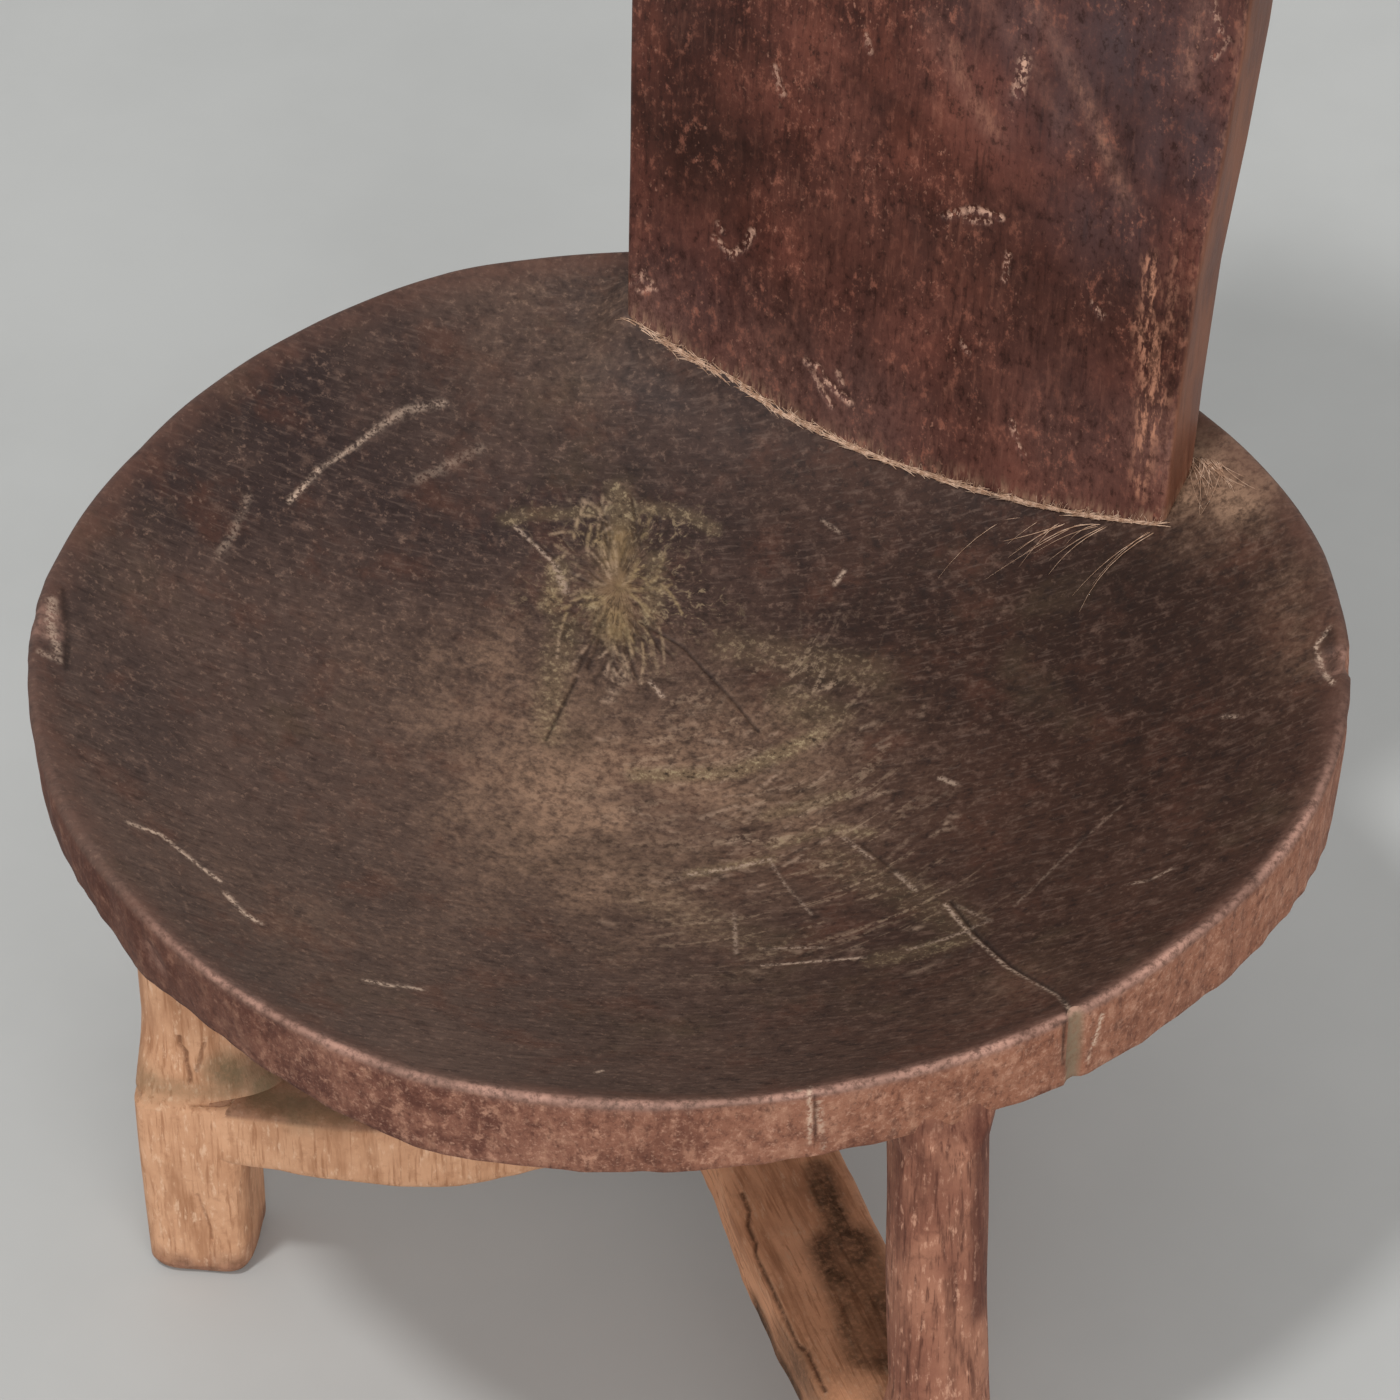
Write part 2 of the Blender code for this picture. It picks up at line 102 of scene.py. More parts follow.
# Behind the back's front face the rise fades out between these two places
FOOT_RISE_END = (-0.022, -0.010)
BACK_SINK = 0.006
BACK_STEP = 0.0022
BACK_SIDE_ROWS = 8
TENON_WIDTH = 0.044
TENON_THICKNESS = 0.012
TENON_SPREAD = 0.116
TENON_INSET = 0.0125
TENON_ROOT = 0.008
TENON_RECESS = 0.0002
TENON_EDGE = 0.0005
TENON_EDGE_RISE = 0.0004
TENON_MOUTH = 0.0008
TENON_SIDES = 48
TENON_SQUARENESS = 9.0

# Legs and bars
ARM_TOP = 0.083
ARM_THICKNESS = 0.026
ARM_WIDTH = 0.041
ARM_COPE = 0.006
ARM_STRAIGHT = 0.62
HUB_Y = 0.010
HUB_RADIUS = 0.036
HUB_THICKNESS = 0.028
HUB_EDGE = 0.003
HUB_VOXEL = 0.0015
KNEE_MARGIN = 0.0012
KNEE_BACK_MARGIN = 0.001
KNEE_EDGE = 0.002
KNEE_FLARE = 0.026
KNEE_LEDGE = 0.0018
KNEE_LEDGE_RISE = 0.0002
KNEE_SWELL = 0.0012
KNEE_SINK = 0.0045
FOOT_WIDTH = 0.036
FOOT_EDGE = 0.004
LEG_ROOT = 0.010
LEG_COVER = 0.004
LEG_STEP = 0.0016
LEG_SIDES = 104
POST_SQUARENESS = 2.2
JOINT_FLARE = 0.012
JOINT_SLOPE = 0.30
WALL_COVER = 0.0012
BAR_SQUARENESS = 8.0
BAR_SIDES = 96
BAR_STEP = 0.0016
BAR_OVERLAP = 0.003
# Bearing, splay and toe are in degrees. Side is the way the knee is set off its post, and fillet is how
# far the post spreads toward the hub above the knee
LEGS = {
    "front_left": {
        "bearing": -38.6, "inset": 0.0158, "splay": 4.0, "radius": 0.0152,
        "toe": -2.8, "side": -1, "fillet": 0.2,
    },
    "front_right": {
        "bearing": -143.7, "inset": 0.0461, "splay": 1.0, "radius": 0.0170,
        "toe": -17.5, "side": 1, "fillet": 1.0,
    },
    "rear": {
        "bearing": 90.0, "inset": 0.0450, "splay": 2.0, "radius": 0.0160,
        "toe": 0.0, "side": 0, "fillet": 0.5,
    },
}


# Small tools for numbers

def smoothstep(low, high, value):
    """0 below low, 1 above high, and an even ease between them."""
    t = np.clip((value - low) / (high - low), 0.0, 1.0)
    return t * t * (3 - 2 * t)


def bell(value, width):
    """1 where a value is 0, falling off evenly on both sides."""
    return np.exp(-((value / width) ** 2))


def unit(vector):
    return vector / np.linalg.norm(vector)


def turned(vector, angle):
    """A flat vector turned by an angle."""
    c, s = math.cos(angle), math.sin(angle)
    return np.array([c * vector[0] - s * vector[1], s * vector[0] + c * vector[1]])


def lattice(cells, seed):
    """A repeatable number from -1 to 1 for each whole-number cell."""
    x, y, z = (cells[:, axis].astype(np.uint32) for axis in range(3))
    mixed = x * np.uint32(374761393) + y * np.uint32(668265263) + z * np.uint32(2246822519)
    mixed = mixed + np.uint32(seed * 3266489917 % 2**32)
    mixed = (mixed ^ (mixed >> np.uint32(13))) * np.uint32(1274126177)
    mixed = mixed ^ (mixed >> np.uint32(16))
    return mixed / 2**31 - 1.0


def noise(points, size, seed=0):
    """Smooth noise from -1 to 1 whose bumps are about size across: one size, or one for each axis."""
    scaled = points / np.asarray(size)
    cells = np.floor(scaled).astype(np.int64)
    part = scaled - cells
    ease = part * part * (3 - 2 * part)
    total = np.zeros(len(points))
    for corner in product((0, 1), repeat=3):
        weight = np.prod(np.where(corner, ease, 1 - ease), axis=1)
        total += weight * lattice(cells + np.array(corner), seed)
    return total


def relief(points, rows):
    """The sum of some noises: height, bump size and seed of each."""
    return sum(height * noise(points, size, seed) for height, size, seed in rows)


def patchy(points, middle, swing, size, seed):
    """A share that wanders about its middle, in patches of about that size."""
    return middle + swing * noise(points, size, seed)


def distance_to_path(points, path):
    """Distance of each point from a path of straight runs."""
    nearest = np.full(len(points), np.inf)
    for start, end in zip(path[:-1], path[1:]):
        run = end - start
        share = np.clip((points - start) @ run / max(run @ run, 1e-12), 0.0, 1.0)
        nearest = np.minimum(nearest, np.linalg.norm(points - start - share[:, None] * run, axis=1))
    return nearest


def distance_to_strokes(points, strokes):
    """Distance of each point from the nearest of some strokes: path, half width and strength of each."""
    return np.min([distance_to_path(points, path) for path, _, _ in strokes], axis=0)


def stroke_cover(points, strokes):
    """How far each point lies inside the strokes: their strength along the middle, nothing at their edges."""
    cover = np.zeros(len(points))
    for path, width, strength in strokes:
        centre = path.mean(axis=0)
        size = np.linalg.norm(path - centre, axis=1).max() + 2 * width
        near = np.nonzero(np.linalg.norm(points - centre, axis=1) < size)[0]
        away = distance_to_path(points[near], path)
        cover[near] = np.maximum(cover[near], strength * (1 - smoothstep(0.1 * width, width, away)))
    return cover


def area_covers(points, areas, spot):
    """How far each point lies inside each soft round area: pixel, radius, strength."""
    return [
        strength * bell(np.linalg.norm(points - spot(pixel), axis=1), size)
        for pixel, size, strength in areas
    ]


def wander(bearings, table):
    """Reads a (bearing in degrees, millimetres) list at the given bearings, in metres."""
    angles, values = np.array(table, float).T
    return np.interp(np.degrees(bearings), angles, values) / 1000


# Camera

RIGHT = np.array([math.cos(CAMERA_AZIMUTH), math.sin(CAMERA_AZIMUTH), 0.0])
AWAY = np.array([-math.sin(CAMERA_AZIMUTH), math.cos(CAMERA_AZIMUTH), 0.0])
UP = np.array([0.0, 0.0, 1.0])
FORWARD = AWAY * math.cos(CAMERA_ELEVATION) - UP * math.sin(CAMERA_ELEVATION)
IMAGE_UP = AWAY * math.sin(CAMERA_ELEVATION) + UP * math.cos(CAMERA_ELEVATION)
RIM_CENTRE = np.array([0.0, SEAT_Y, RIM_TOP])
EYE = RIM_CENTRE + CAMERA_RIGHT * RIGHT + CAMERA_UP * IMAGE_UP - CAMERA_DISTANCE * FORWARD


def pixel_ray(pixel):
    """Direction from the camera through a pixel of the photograph."""
    half = IMAGE_SIZE / 2
    return FORWARD + RIGHT * (pixel[0] - half) / FOCAL_PIXELS + IMAGE_UP * (half - pixel[1]) / FOCAL_PIXELS


def along_path(pixels, step=10.0):
    """Pixels along a path of straight runs, about step apart."""
    found = [np.array(pixels[0], float)]
    for start, end in zip(pixels[:-1], pixels[1:]):
        start, end = np.array(start, float), np.array(end, float)
        count = max(1, round(np.linalg.norm(end - start) / step))
        found += [start + (end - start) * (i + 1) / count for i in range(count)]
    return found


def lay(marks, spot):
    """Strokes on a surface from marks in the photograph: pixel path, half width and strength of each."""
    return [
        (np.array([spot(p) for p in along_path(path)]), width, strength)
        for path, width, strength in marks
    ]


# Shapes that several pieces share

def dish_height(radius):
    """Height of the dish's surface at a distance from the seat's axis."""
    return RIM_TOP - DISH_DEPTH * (1 - (radius / DISH_RADIUS) ** 2)


def underside_height(radius):
    """Height of the seat's underside at a distance from the seat's axis."""
    edge = SEAT_RADIUS - UNDERSIDE_INSET
    return RIM_TOP - RIM_HEIGHT - UNDERSIDE_DEPTH * (1 - (radius / edge) ** 2)


def seat_spot(pixel):
    """The point of the dish, or of the rim's wall, that a pixel of the photograph shows."""
    ray = pixel_ray(pixel)
    axis = np.array([0.0, SEAT_Y, 0.0])
    at_rim = EYE + ray * (RIM_TOP - EYE[2]) / ray[2]
    if np.linalg.norm((at_rim - axis)[:2]) < DISH_RADIUS:
        low = (RIM_TOP - EYE[2]) / ray[2]
        high = (RIM_TOP - 2 * DISH_DEPTH - EYE[2]) / ray[2]
        for _ in range(40):
            middle = (low + high) / 2
            spot = EYE + ray * middle
            if spot[2] > dish_height(np.linalg.norm((spot - axis)[:2])):
                low = middle
            else:
                high = middle
        return EYE + ray * low
    flat, start = ray[:2], (EYE - axis)[:2]
    a, b, c = flat @ flat, flat @ start, start @ start - SEAT_RADIUS**2
    return EYE + ray * (-b - math.sqrt(max(b * b - a * c, 0.0))) / a


BACK_FOOT = np.array([0.0, SEAT_Y + BACK_FRONT, dish_height(BACK_FRONT)])
BACK_UP = np.array([0.0, math.sin(BACK_LEAN), math.cos(BACK_LEAN)])
BACK_THROUGH = np.array([0.0, math.cos(BACK_LEAN), -math.sin(BACK_LEAN)])
BACK_LENGTH = (BACK_TOP - BACK_FOOT[2]) / BACK_UP[2]
HUB = np.array([0.0, HUB_Y])


def dish_point(x, y):
    """The point of the dish at a place measured from the seat's axis."""
    return np.array([x, SEAT_Y + y, dish_height(math.hypot(x, y))])


def foot_rise(x, forward):
    """How far the seat's wood curves up at the back's foot, by the place across it and in front of it."""
    places, heights = np.array(BACK_FOOT_RISE).T
    rise = np.interp(x, places, heights) / 1000 * np.exp(-np.clip(forward, 0.0, None) / FOOT_RISE_REACH)
    beside = np.clip(np.abs(x) - BACK_BASE_WIDTH / 2, 0.0, None)
    return rise * bell(beside, FOOT_RISE_REACH) * smoothstep(*FOOT_RISE_END, forward)


def base_point(x, forward=0.0):
    """A point of the seat along the foot of the back's front face, or some way in front of it."""
    rise = 0.0
    for _ in range(6):
        y = BACK_FRONT - forward + rise * math.tan(BACK_LEAN)
        height = dish_height(math.hypot(x, y)) + foot_rise(x, forward)
        rise = height - BACK_FOOT[2]
    return np.array([x, SEAT_Y + y, height])


def spot_on(points, normals, pixel):
    """The point of a piece's near side that a pixel of the photograph shows."""
    ray = pixel_ray(pixel)
    ray = ray / np.linalg.norm(ray)
    offset = points - EYE
    off_line = np.linalg.norm(offset - np.outer(offset @ ray, ray), axis=1)
    return points[np.argmin(off_line + np.where(normals @ ray > -0.1, 1.0, 0.0))]


def tenon_spot(side, x=0.0, y=0.0):
    """Where a point of a tenon's section, measured from its middle, comes out of the seat's underside."""
    across = np.array([side * TENON_SPREAD / 2 + x, 0.0, 0.0])
    place = BACK_FOOT + across + (TENON_INSET + y) * BACK_THROUGH
    for _ in range(8):
        place = place - BACK_UP * (place[2] - underside_height(math.hypot(place[0], place[1] - SEAT_Y)))
    return place


def tenon_clearance(points):
    """0 round the tenons' ends, 1 a little way off."""
    away = np.min([np.linalg.norm(points - tenon_spot(side), axis=1) for side in (-1, 1)], axis=0)
    return smoothstep(0.6 * TENON_WIDTH, 0.85 * TENON_WIDTH, away)


def back_spot(pixel):
    """The point of the back's front face that a pixel of the photograph shows."""
    ray = pixel_ray(pixel)
    return EYE + ray * ((BACK_FOOT - EYE) @ BACK_THROUGH) / (ray @ BACK_THROUGH)


def back_half_width(z):
    """Half the slab's width at a height up along it."""
    return (BACK_BASE_WIDTH + (BACK_TOP_WIDTH - BACK_BASE_WIDTH) * np.clip(z, 0, None) / BACK_LENGTH) / 2


def squircle(turn, long, wide, power):
    """A rounded square's outline: offsets along and across its heading."""
    c, s = np.cos(turn), np.sin(turn)
    reach = (np.abs(c / long) ** power + np.abs(s / wide) ** power) ** (-1 / power)
    return reach * c, reach * s


def round_turns(count):
    """Angles of points all round, evenly apart."""
    return np.linspace(0, 2 * math.pi, count, endpoint=False)


# Meshes

def add_piece(name, points, faces):
    """A new mesh object with that name."""
    mesh = bpy.data.meshes.new(name)
    mesh.from_pydata(np.asarray(points).tolist(), [], faces)
    piece = bpy.data.objects.new(name, mesh)
    bpy.context.scene.collection.objects.link(piece)
    return piece


def vectors_of(items, key):
    """One row of x, y and z for each vertex or normal of a mesh."""
    values = np.empty(len(items) * 3, np.float32)
    items.foreach_get(key, values)
    return values.reshape(-1, 3).astype(float)


def points_and_normals(piece):
    return vectors_of(piece.data.vertices, "co"), vectors_of(piece.data.vertex_normals, "vector")


def set_points(piece, points):
    piece.data.vertices.foreach_set("co", points.astype(np.float32).ravel())
    piece.data.update()


def paint(piece, **layers):
    """Stores numbers from 0 to 1 for each vertex, which the piece's material reads by their names."""
    for name, values in layers.items():
        layer = piece.data.attributes.new(name, "FLOAT", "POINT")
        layer.data.foreach_set("value", np.clip(values, 0.0, 1.0).astype(np.float32))


def refine(piece, reach, levels):
    """Halves the edges near what reach(points) measures, once for each distance in levels."""
    bm = bmesh.new()
    bm.from_mesh(piece.data)
    for level in levels:
        bm.verts.index_update()
        near = reach(np.array([v.co for v in bm.verts])) < level
        edges = [e for e in bm.edges if near[e.verts[0].index] and near[e.verts[1].index]]
        bmesh.ops.subdivide_edges(bm, edges=edges, cuts=1, use_grid_fill=True)
    bmesh.ops.triangulate(bm, faces=[f for f in bm.faces if len(f.verts) > 4])
    bm.to_mesh(piece.data)
    bm.free()


def face_outward(piece):
    """Turns all faces of closed shapes to the outside."""
    bm = bmesh.new()
    bm.from_mesh(piece.data)
    bmesh.ops.recalc_face_normals(bm, faces=bm.faces)
    bm.to_mesh(piece.data)
    bm.free()


def stitch(inner, outer):
    """Faces between two rings of vertex numbers, where one may have twice as many as the other."""
    if len(inner) > len(outer):
        return [face[::-1] for face in stitch(outer, inner)]
    faces = []
    count, step = len(inner), len(outer) // len(inner)
    for i in range(count):
        a, b = inner[i], inner[(i + 1) % count]
        first, last = outer[step * i], outer[step * (i + 1) % len(outer)]
        if step == 1:
            faces.append((a, first, last, b))
        else:
            middle = outer[step * i + 1]
            faces += [(a, first, middle), (a, middle, b), (b, middle, last)]
    return faces


def ring_faces(rows, sides):
    """Faces between rings of as many vertices each, which follow each other in a list of points."""
    faces = []
    for row in range(rows - 1):
        low = range(row * sides, (row + 1) * sides)
        faces += stitch(low, range((row + 1) * sides, (row + 2) * sides))
    return faces


def tube_faces(points, sides):
    """The same for all the points, with a flat face at each end."""
    ends = [tuple(range(sides)), tuple(range(len(points) - sides, len(points)))]
    return ring_faces(len(points) // sides, sides) + ends


def append_part(points, faces, extra, around):
    """Adds another shape's points and faces to those of a mesh."""
    faces += [tuple(n + len(points) for n in face) for face in around]
    points += extra


def dress(piece, material, slot, *nodes):
    """Gives a finished piece its material and its body, and hides the nodes that it stands for. The slot is
    not used.
    """
    piece.data.shade_smooth()
    piece.data.materials.append(material)
    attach(piece, "root")
    if nodes:
        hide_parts(*nodes)


# Materials

def srgb(red, green, blue):
    """A colour given as display values from 0 to 255, in linear light."""
    shares = (value / 255 for value in (red, green, blue))
    return (*(s / 12.92 if s <= 0.04045 else ((s + 0.055) / 1.055) ** 2.4 for s in shares), 1.0)


class Shader:
    """A material's node tree, built with short calls that return output sockets.

    Shades are display values from 0 to 255, or the sockets of other shades.
    """

    def __init__(self, name):
        self.material = bpy.data.materials.new(name)
        self.material.use_nodes = True
        self.tree = self.material.node_tree
        self.tree.nodes.clear()
        self.place = self.add("ShaderNodeTexCoord").outputs["Object"]

    def put(self, socket, value):
        """Links a socket, or sets its constant."""
        if isinstance(value, bpy.types.NodeSocket):
            self.tree.links.new(value, socket)
        else:
            socket.default_value = value

    def add(self, kind, inputs=None, **settings):
        node = self.tree.nodes.new(kind)
        for key, value in settings.items():
            setattr(node, key, value)
        for key, value in (inputs or {}).items():
            self.put(node.inputs[key], value)
        return node

    def math(self, operation, a, b):
        return self.add("ShaderNodeMath", {0: a, 1: b}, operation=operation).outputs[0]

    def times(self, *values):
        so_far = values[0]
        for value in values[1:]:
            so_far = self.math("MULTIPLY", so_far, value)
        return so_far

    def vector(self, operation, a, b=(0.0, 0.0, 0.0), output=0):
        return self.add("ShaderNodeVectorMath", {0: a, 1: b}, operation=operation).outputs[output]

    def along(self, direction):
        """How far the surface lies along a direction."""
        return self.vector("DOT_PRODUCT", self.place, direction, "Value")

    def shifted(self, *offset):
        """The surface's place, moved so that a noise differs from others."""
        return self.vector("ADD", self.place, offset)

    def noise(self, vector, scale, detail, roughness, distortion=0.0):
        values = {
            "Vector": vector, "Scale": scale, "Detail": detail, "Roughness": roughness,
            "Distortion": distortion,
        }
        return self.add("ShaderNodeTexNoise", values).outputs[0]

    def streaks(self, stretch, detail=4.0, roughness=0.6, place=None):
        """Noise drawn out along an axis: stretch gives the number of bumps in a metre on each axis."""
        place = self.place if place is None else place
        return self.noise(self.vector("MULTIPLY", place, stretch), 1.0, detail, roughness)

    def spread(self, axes, detail, roughness, distortion=0.0):
        """Noise over three values, each with the number of bumps in one unit of it."""
        values = (self.times(value, bumps) for value, bumps in axes)
        vector = self.add("ShaderNodeCombineXYZ", dict(enumerate(values))).outputs[0]
        return self.noise(vector, 1.0, detail, roughness, distortion)

    def drawn_out(self, way, across, along, detail=4.0, roughness=0.65):
        """Noise drawn out along a direction: across and along give the number of bumps in a metre."""
        way = unit(np.array(way))
        side = unit(np.cross(way, FORWARD))
        directions = ((way, along), (side, across), (np.cross(way, side), across))
        return self.spread([(self.along(d), bumps) for d, bumps in directions], detail, roughness)

    def ramp(self, value, low, high, end=1.0, start=0.0):
        """Eases from start, where a value is low, to end, where it is high."""
        values = {"Value": value, "From Min": low, "From Max": high, "To Min": start, "To Max": end}
        return self.add("ShaderNodeMapRange", values, interpolation_type="SMOOTHSTEP").outputs[0]

    def mix(self, share, *shades):
        node = self.add("ShaderNodeMix", data_type="RGBA", blend_type="MIX")
        self.put(node.inputs[0], share)
        for socket, shade in zip(node.inputs[6:8], shades):
            self.put(socket, srgb(*shade) if isinstance(shade, tuple) else shade)
        return node.outputs[2]

    def layers(self, colour, *rows):
        """Lays shades over a colour, each by the product of its shares: shares, shade."""
        for *shares, shade in rows:
            colour = self.mix(self.times(*shares), colour, shade)
        return colour

    def painted(self, name):
        return self.add("ShaderNodeAttribute", attribute_name=name).outputs["Fac"]

    def finish(self, colour, roughness, height, bump, depth, specular):
        """Ends the tree with one surface shader and a bump of the given strength and depth."""
        relief_node = self.add("ShaderNodeBump", {"Strength": bump, "Distance": depth, "Height": height})
        surface = {
            "Base Color": colour, "Roughness": roughness, "Normal": relief_node.outputs[0],
            "Specular IOR Level": specular,
        }
        principled = self.add("ShaderNodeBsdfPrincipled", surface)
        self.add("ShaderNodeOutputMaterial", {"Surface": principled.outputs[0]})
        return self.material


def seat_patterns(s):
    """The noises that the seat's shades follow, and how far right and how far in front the surface lies."""
    from_pith = s.vector("SUBTRACT", s.place, (PITH[0], PITH[1] + SEAT_Y, 0.0))
    from_pith = s.vector("MULTIPLY", from_pith, (1.0, 1.0, 0.0))
    reach = s.vector("LENGTH", from_pith, output="Value")
    heading = s.add("ShaderNodeSeparateXYZ", {0: s.vector("NORMALIZE", from_pith)})
    east, north = heading.outputs[0], heading.outputs[1]
    rightward, awayward = s.along(RIGHT), s.along(AWAY)
    elsewhere = s.shifted(3.1, 1.7, 0.4)
    return SimpleNamespace(
        rightward=rightward,
        # Share toward the right, across which painted light changes: the dish goes from a painted greyish
        # sheen to painted shade, and the wall comes out of painted shade
        painted_light_to_right=s.ramp(rightward, -0.10, 0.12),
        to_front=s.ramp(awayward, 0.12, -0.16),
        rays=s.spread(((east, 9.0), (north, 9.0), (reach, 230.0)), 3.0, 0.7, 1.2),
        arcs=s.spread(((reach, 210.0), (east, 4.5), (north, 4.5)), 3.0, 0.65, 0.8),
        rings=s.spread(((reach, 190.0), (east, 1.0), (north, 1.0)), 4.0, 0.6, 0.4),
        hairs=s.spread(((rightward, 130.0), (awayward, 640.0)), 3.0, 0.6),
        patches=s.noise(s.place, 13.0, 5.0, 0.6),
        rust=s.noise(elsewhere, 38.0, 5.0, 0.68),
        olive=s.noise(s.shifted(7.3, 2.9, 1.1), 17.0, 5.0, 0.65),
        mottle=s.noise(s.shifted(1.9, 5.2, 0.3), 170.0, 4.0, 0.7),
        fine=s.noise(s.place, 430.0, 3.0, 0.7),
        grit=s.noise(elsewhere, 760.0, 2.0, 0.6),
        wall_grain=s.streaks((300.0, 300.0, 130.0), 4.0, 0.68),
        wall_patches=s.noise(elsewhere, 46.0, 5.0, 0.68),
    )


def dish_colour(s, p):
    """The dish: a painted greyish sheen on the left and painted shade on the right, paler in front, mottled
    and finely pitted, with darker patches and dust.
    """
    # The left shades hold a painted greyish sheen, the right ones painted shade
    dark = s.mix(p.painted_light_to_right, (54, 42, 40), (48, 31, 25))
    light = s.mix(p.painted_light_to_right, (80, 62, 55), (66, 43, 34))
    front = s.mix(p.painted_light_to_right, (116, 93, 80), (80, 57, 46))
    pitted = s.ramp(p.rightward, -0.10, 0.06, 1.0, 0.55)
    dotted = s.ramp(p.rightward, -0.08, 0.08, 0.55, 1.0)
    dusty = s.times(s.painted("dust"), s.ramp(p.fine, 0.32, 0.62, 1.15, 0.40))
    return s.layers(
        s.mix(s.ramp(p.patches, 0.34, 0.66), dark, light),
        (p.to_front, 0.34, front),
        (s.ramp(p.rust, 0.50, 0.70, 0.45), (94, 59, 46)),
        (s.ramp(p.olive, 0.52, 0.72, 0.45), (84, 69, 52)),
        (s.ramp(p.rings, 0.52, 0.72, 0.22), (46, 33, 29)),
        (s.ramp(p.mottle, 0.48, 0.30, 0.70), pitted, (40, 29, 26)),
        (s.ramp(p.mottle, 0.52, 0.72, 0.45), (118, 92, 79)),
        (s.ramp(p.hairs, 0.52, 0.72, 0.30), (124, 102, 90)),
        (s.ramp(p.hairs, 0.47, 0.28, 0.42), (36, 26, 23)),
        (s.ramp(p.fine, 0.55, 0.72, 0.50), dotted, (140, 112, 96)),
        (s.ramp(p.fine, 0.45, 0.28, 0.52), pitted, (36, 25, 21)),
        # Darker patches of the dish
        (s.painted("stain"), s.ramp(p.mottle, 0.65, 0.35, 1.0, 0.5), (38, 27, 23)),
        (dusty, s.ramp(p.mottle, 0.32, 0.6, 1.1, 0.50), (150, 119, 97)),
    )


def worn_dish_colour(s, p, dish):
    """The dish with the star round its pith, the rings that wear has laid bare, tufts and specks."""
    star, ringed, speck = s.painted("star"), s.painted("ringed"), s.painted("speck")
    tuft = s.mix(star, (178, 150, 128), (158, 134, 98))
    return s.layers(
        dish,
        (s.painted("core"), s.ramp(p.mottle, 0.30, 0.60, 1.0, 0.55), 0.85, (144, 118, 82)),
        (star, s.ramp(p.rays, 0.51, 0.37), 0.55, (40, 30, 25)),
        (star, s.ramp(p.rays, 0.53, 0.66), s.ramp(p.fine, 0.34, 0.52), 0.55, (160, 138, 108)),
        (ringed, s.ramp(p.arcs, 0.48, 0.32), 0.80, (46, 33, 28)),
        (ringed, s.ramp(p.arcs, 0.53, 0.66), s.ramp(p.fine, 0.40, 0.56), 0.8, (172, 146, 122)),
        (s.painted("tuft"), s.ramp(p.fine, 0.36, 0.56, 1.0, 0.2), tuft),
        (speck, 0.55, (126, 106, 80)),
        (speck, s.ramp(p.fine, 0.47, 0.31), 0.85, (44, 33, 27)),
        (speck, s.ramp(p.fine, 0.52, 0.66), 0.85, (166, 146, 114)),
    )


def wall_colour(s, p):
    """The rim's wall: red-brown, blotched and streaked, with painted shade on its left."""
    return s.layers(
        # Here and in the next shades the left side is darker: painted shade
        s.mix(p.painted_light_to_right, (130, 87, 71), (146, 97, 75)),
        (s.ramp(p.wall_patches, 0.52, 0.36, 0.85), s.mix(p.painted_light_to_right, (88, 52, 43), (124, 80, 62))),
        (s.ramp(p.wall_patches, 0.54, 0.70, 0.55), (178, 132, 108)),
        (s.ramp(p.mottle, 0.48, 0.30, 0.70), s.mix(p.painted_light_to_right, (78, 45, 37), (104, 64, 49))),
        (s.ramp(p.mottle, 0.53, 0.70, 0.70), (186, 138, 114)),
        (s.ramp(p.fine, 0.46, 0.30, 0.55), (82, 48, 39)),
        (s.ramp(p.fine, 0.55, 0.72, 0.50), (196, 150, 126)),
        (s.ramp(p.wall_grain, 0.52, 0.72, 0.50), (176, 130, 106)),
        (s.ramp(p.wall_grain, 0.48, 0.30, 0.60), (78, 46, 37)),
        (s.ramp(p.grit, 0.56, 0.74, 0.30), (196, 154, 130)),
        # Painted shade on the wall's far left
        (s.ramp(p.rightward, -0.085, -0.165), s.ramp(p.mottle, 0.30, 0.65, 0.7, 1.0), 0.85, (78, 46, 36)),
    )


def seat_material():
    """Dark mottled end grain under painted sheen and shade: rays round the pith, dust in the hollow, a redder
    wall and a rubbed rim with a painted highlight.
    """
    s = Shader("seat_wood")
    p = seat_patterns(s)
    wall = s.painted("wall")
    # The pale rim line, part wear and part painted highlight, and pale chip edges
    worn = s.times(s.painted("worn"), s.ramp(p.fine, 0.32, 0.60, 1.0, 0.25))
    scratch = s.times(s.painted("scratch"), s.ramp(p.grit, 0.40, 0.54, 1.0, 0.10))
    colour = s.layers(
        worn_dish_colour(s, p, dish_colour(s, p)),
        (s.painted("rim"), s.ramp(p.mottle, 0.3, 0.6, 0.7, 0.3), (98, 68, 57)),
        (wall, wall_colour(s, p)),
        (s.painted("groove"), s.ramp(p.fine, 0.3, 0.6, 1.0, 0.6), (122, 106, 84)),
        (worn, s.ramp(p.wall_patches, 0.3, 0.6, 1.0, 0.4), (184, 141, 124)),
        (s.painted("check"), s.ramp(p.grit, 0.25, 0.50, 1.0, 0.5), (32, 22, 18)),
        (scratch, s.ramp(p.mottle, 0.34, 0.54, 1.0, 0.15), (206, 178, 156)),
    )
    rough = s.math("ADD", s.ramp(p.patches, 0.3, 0.7, 0.64, 0.50), s.times(wall, 0.15))
    height = s.math("ADD", s.times(p.fine, 0.5), s.times(p.mottle, 0.5))
    height = s.math("ADD", height, s.times(wall, p.wall_grain, 0.8))
    return s.finish(colour, rough, height, 0.6, 0.0006, 0.18)


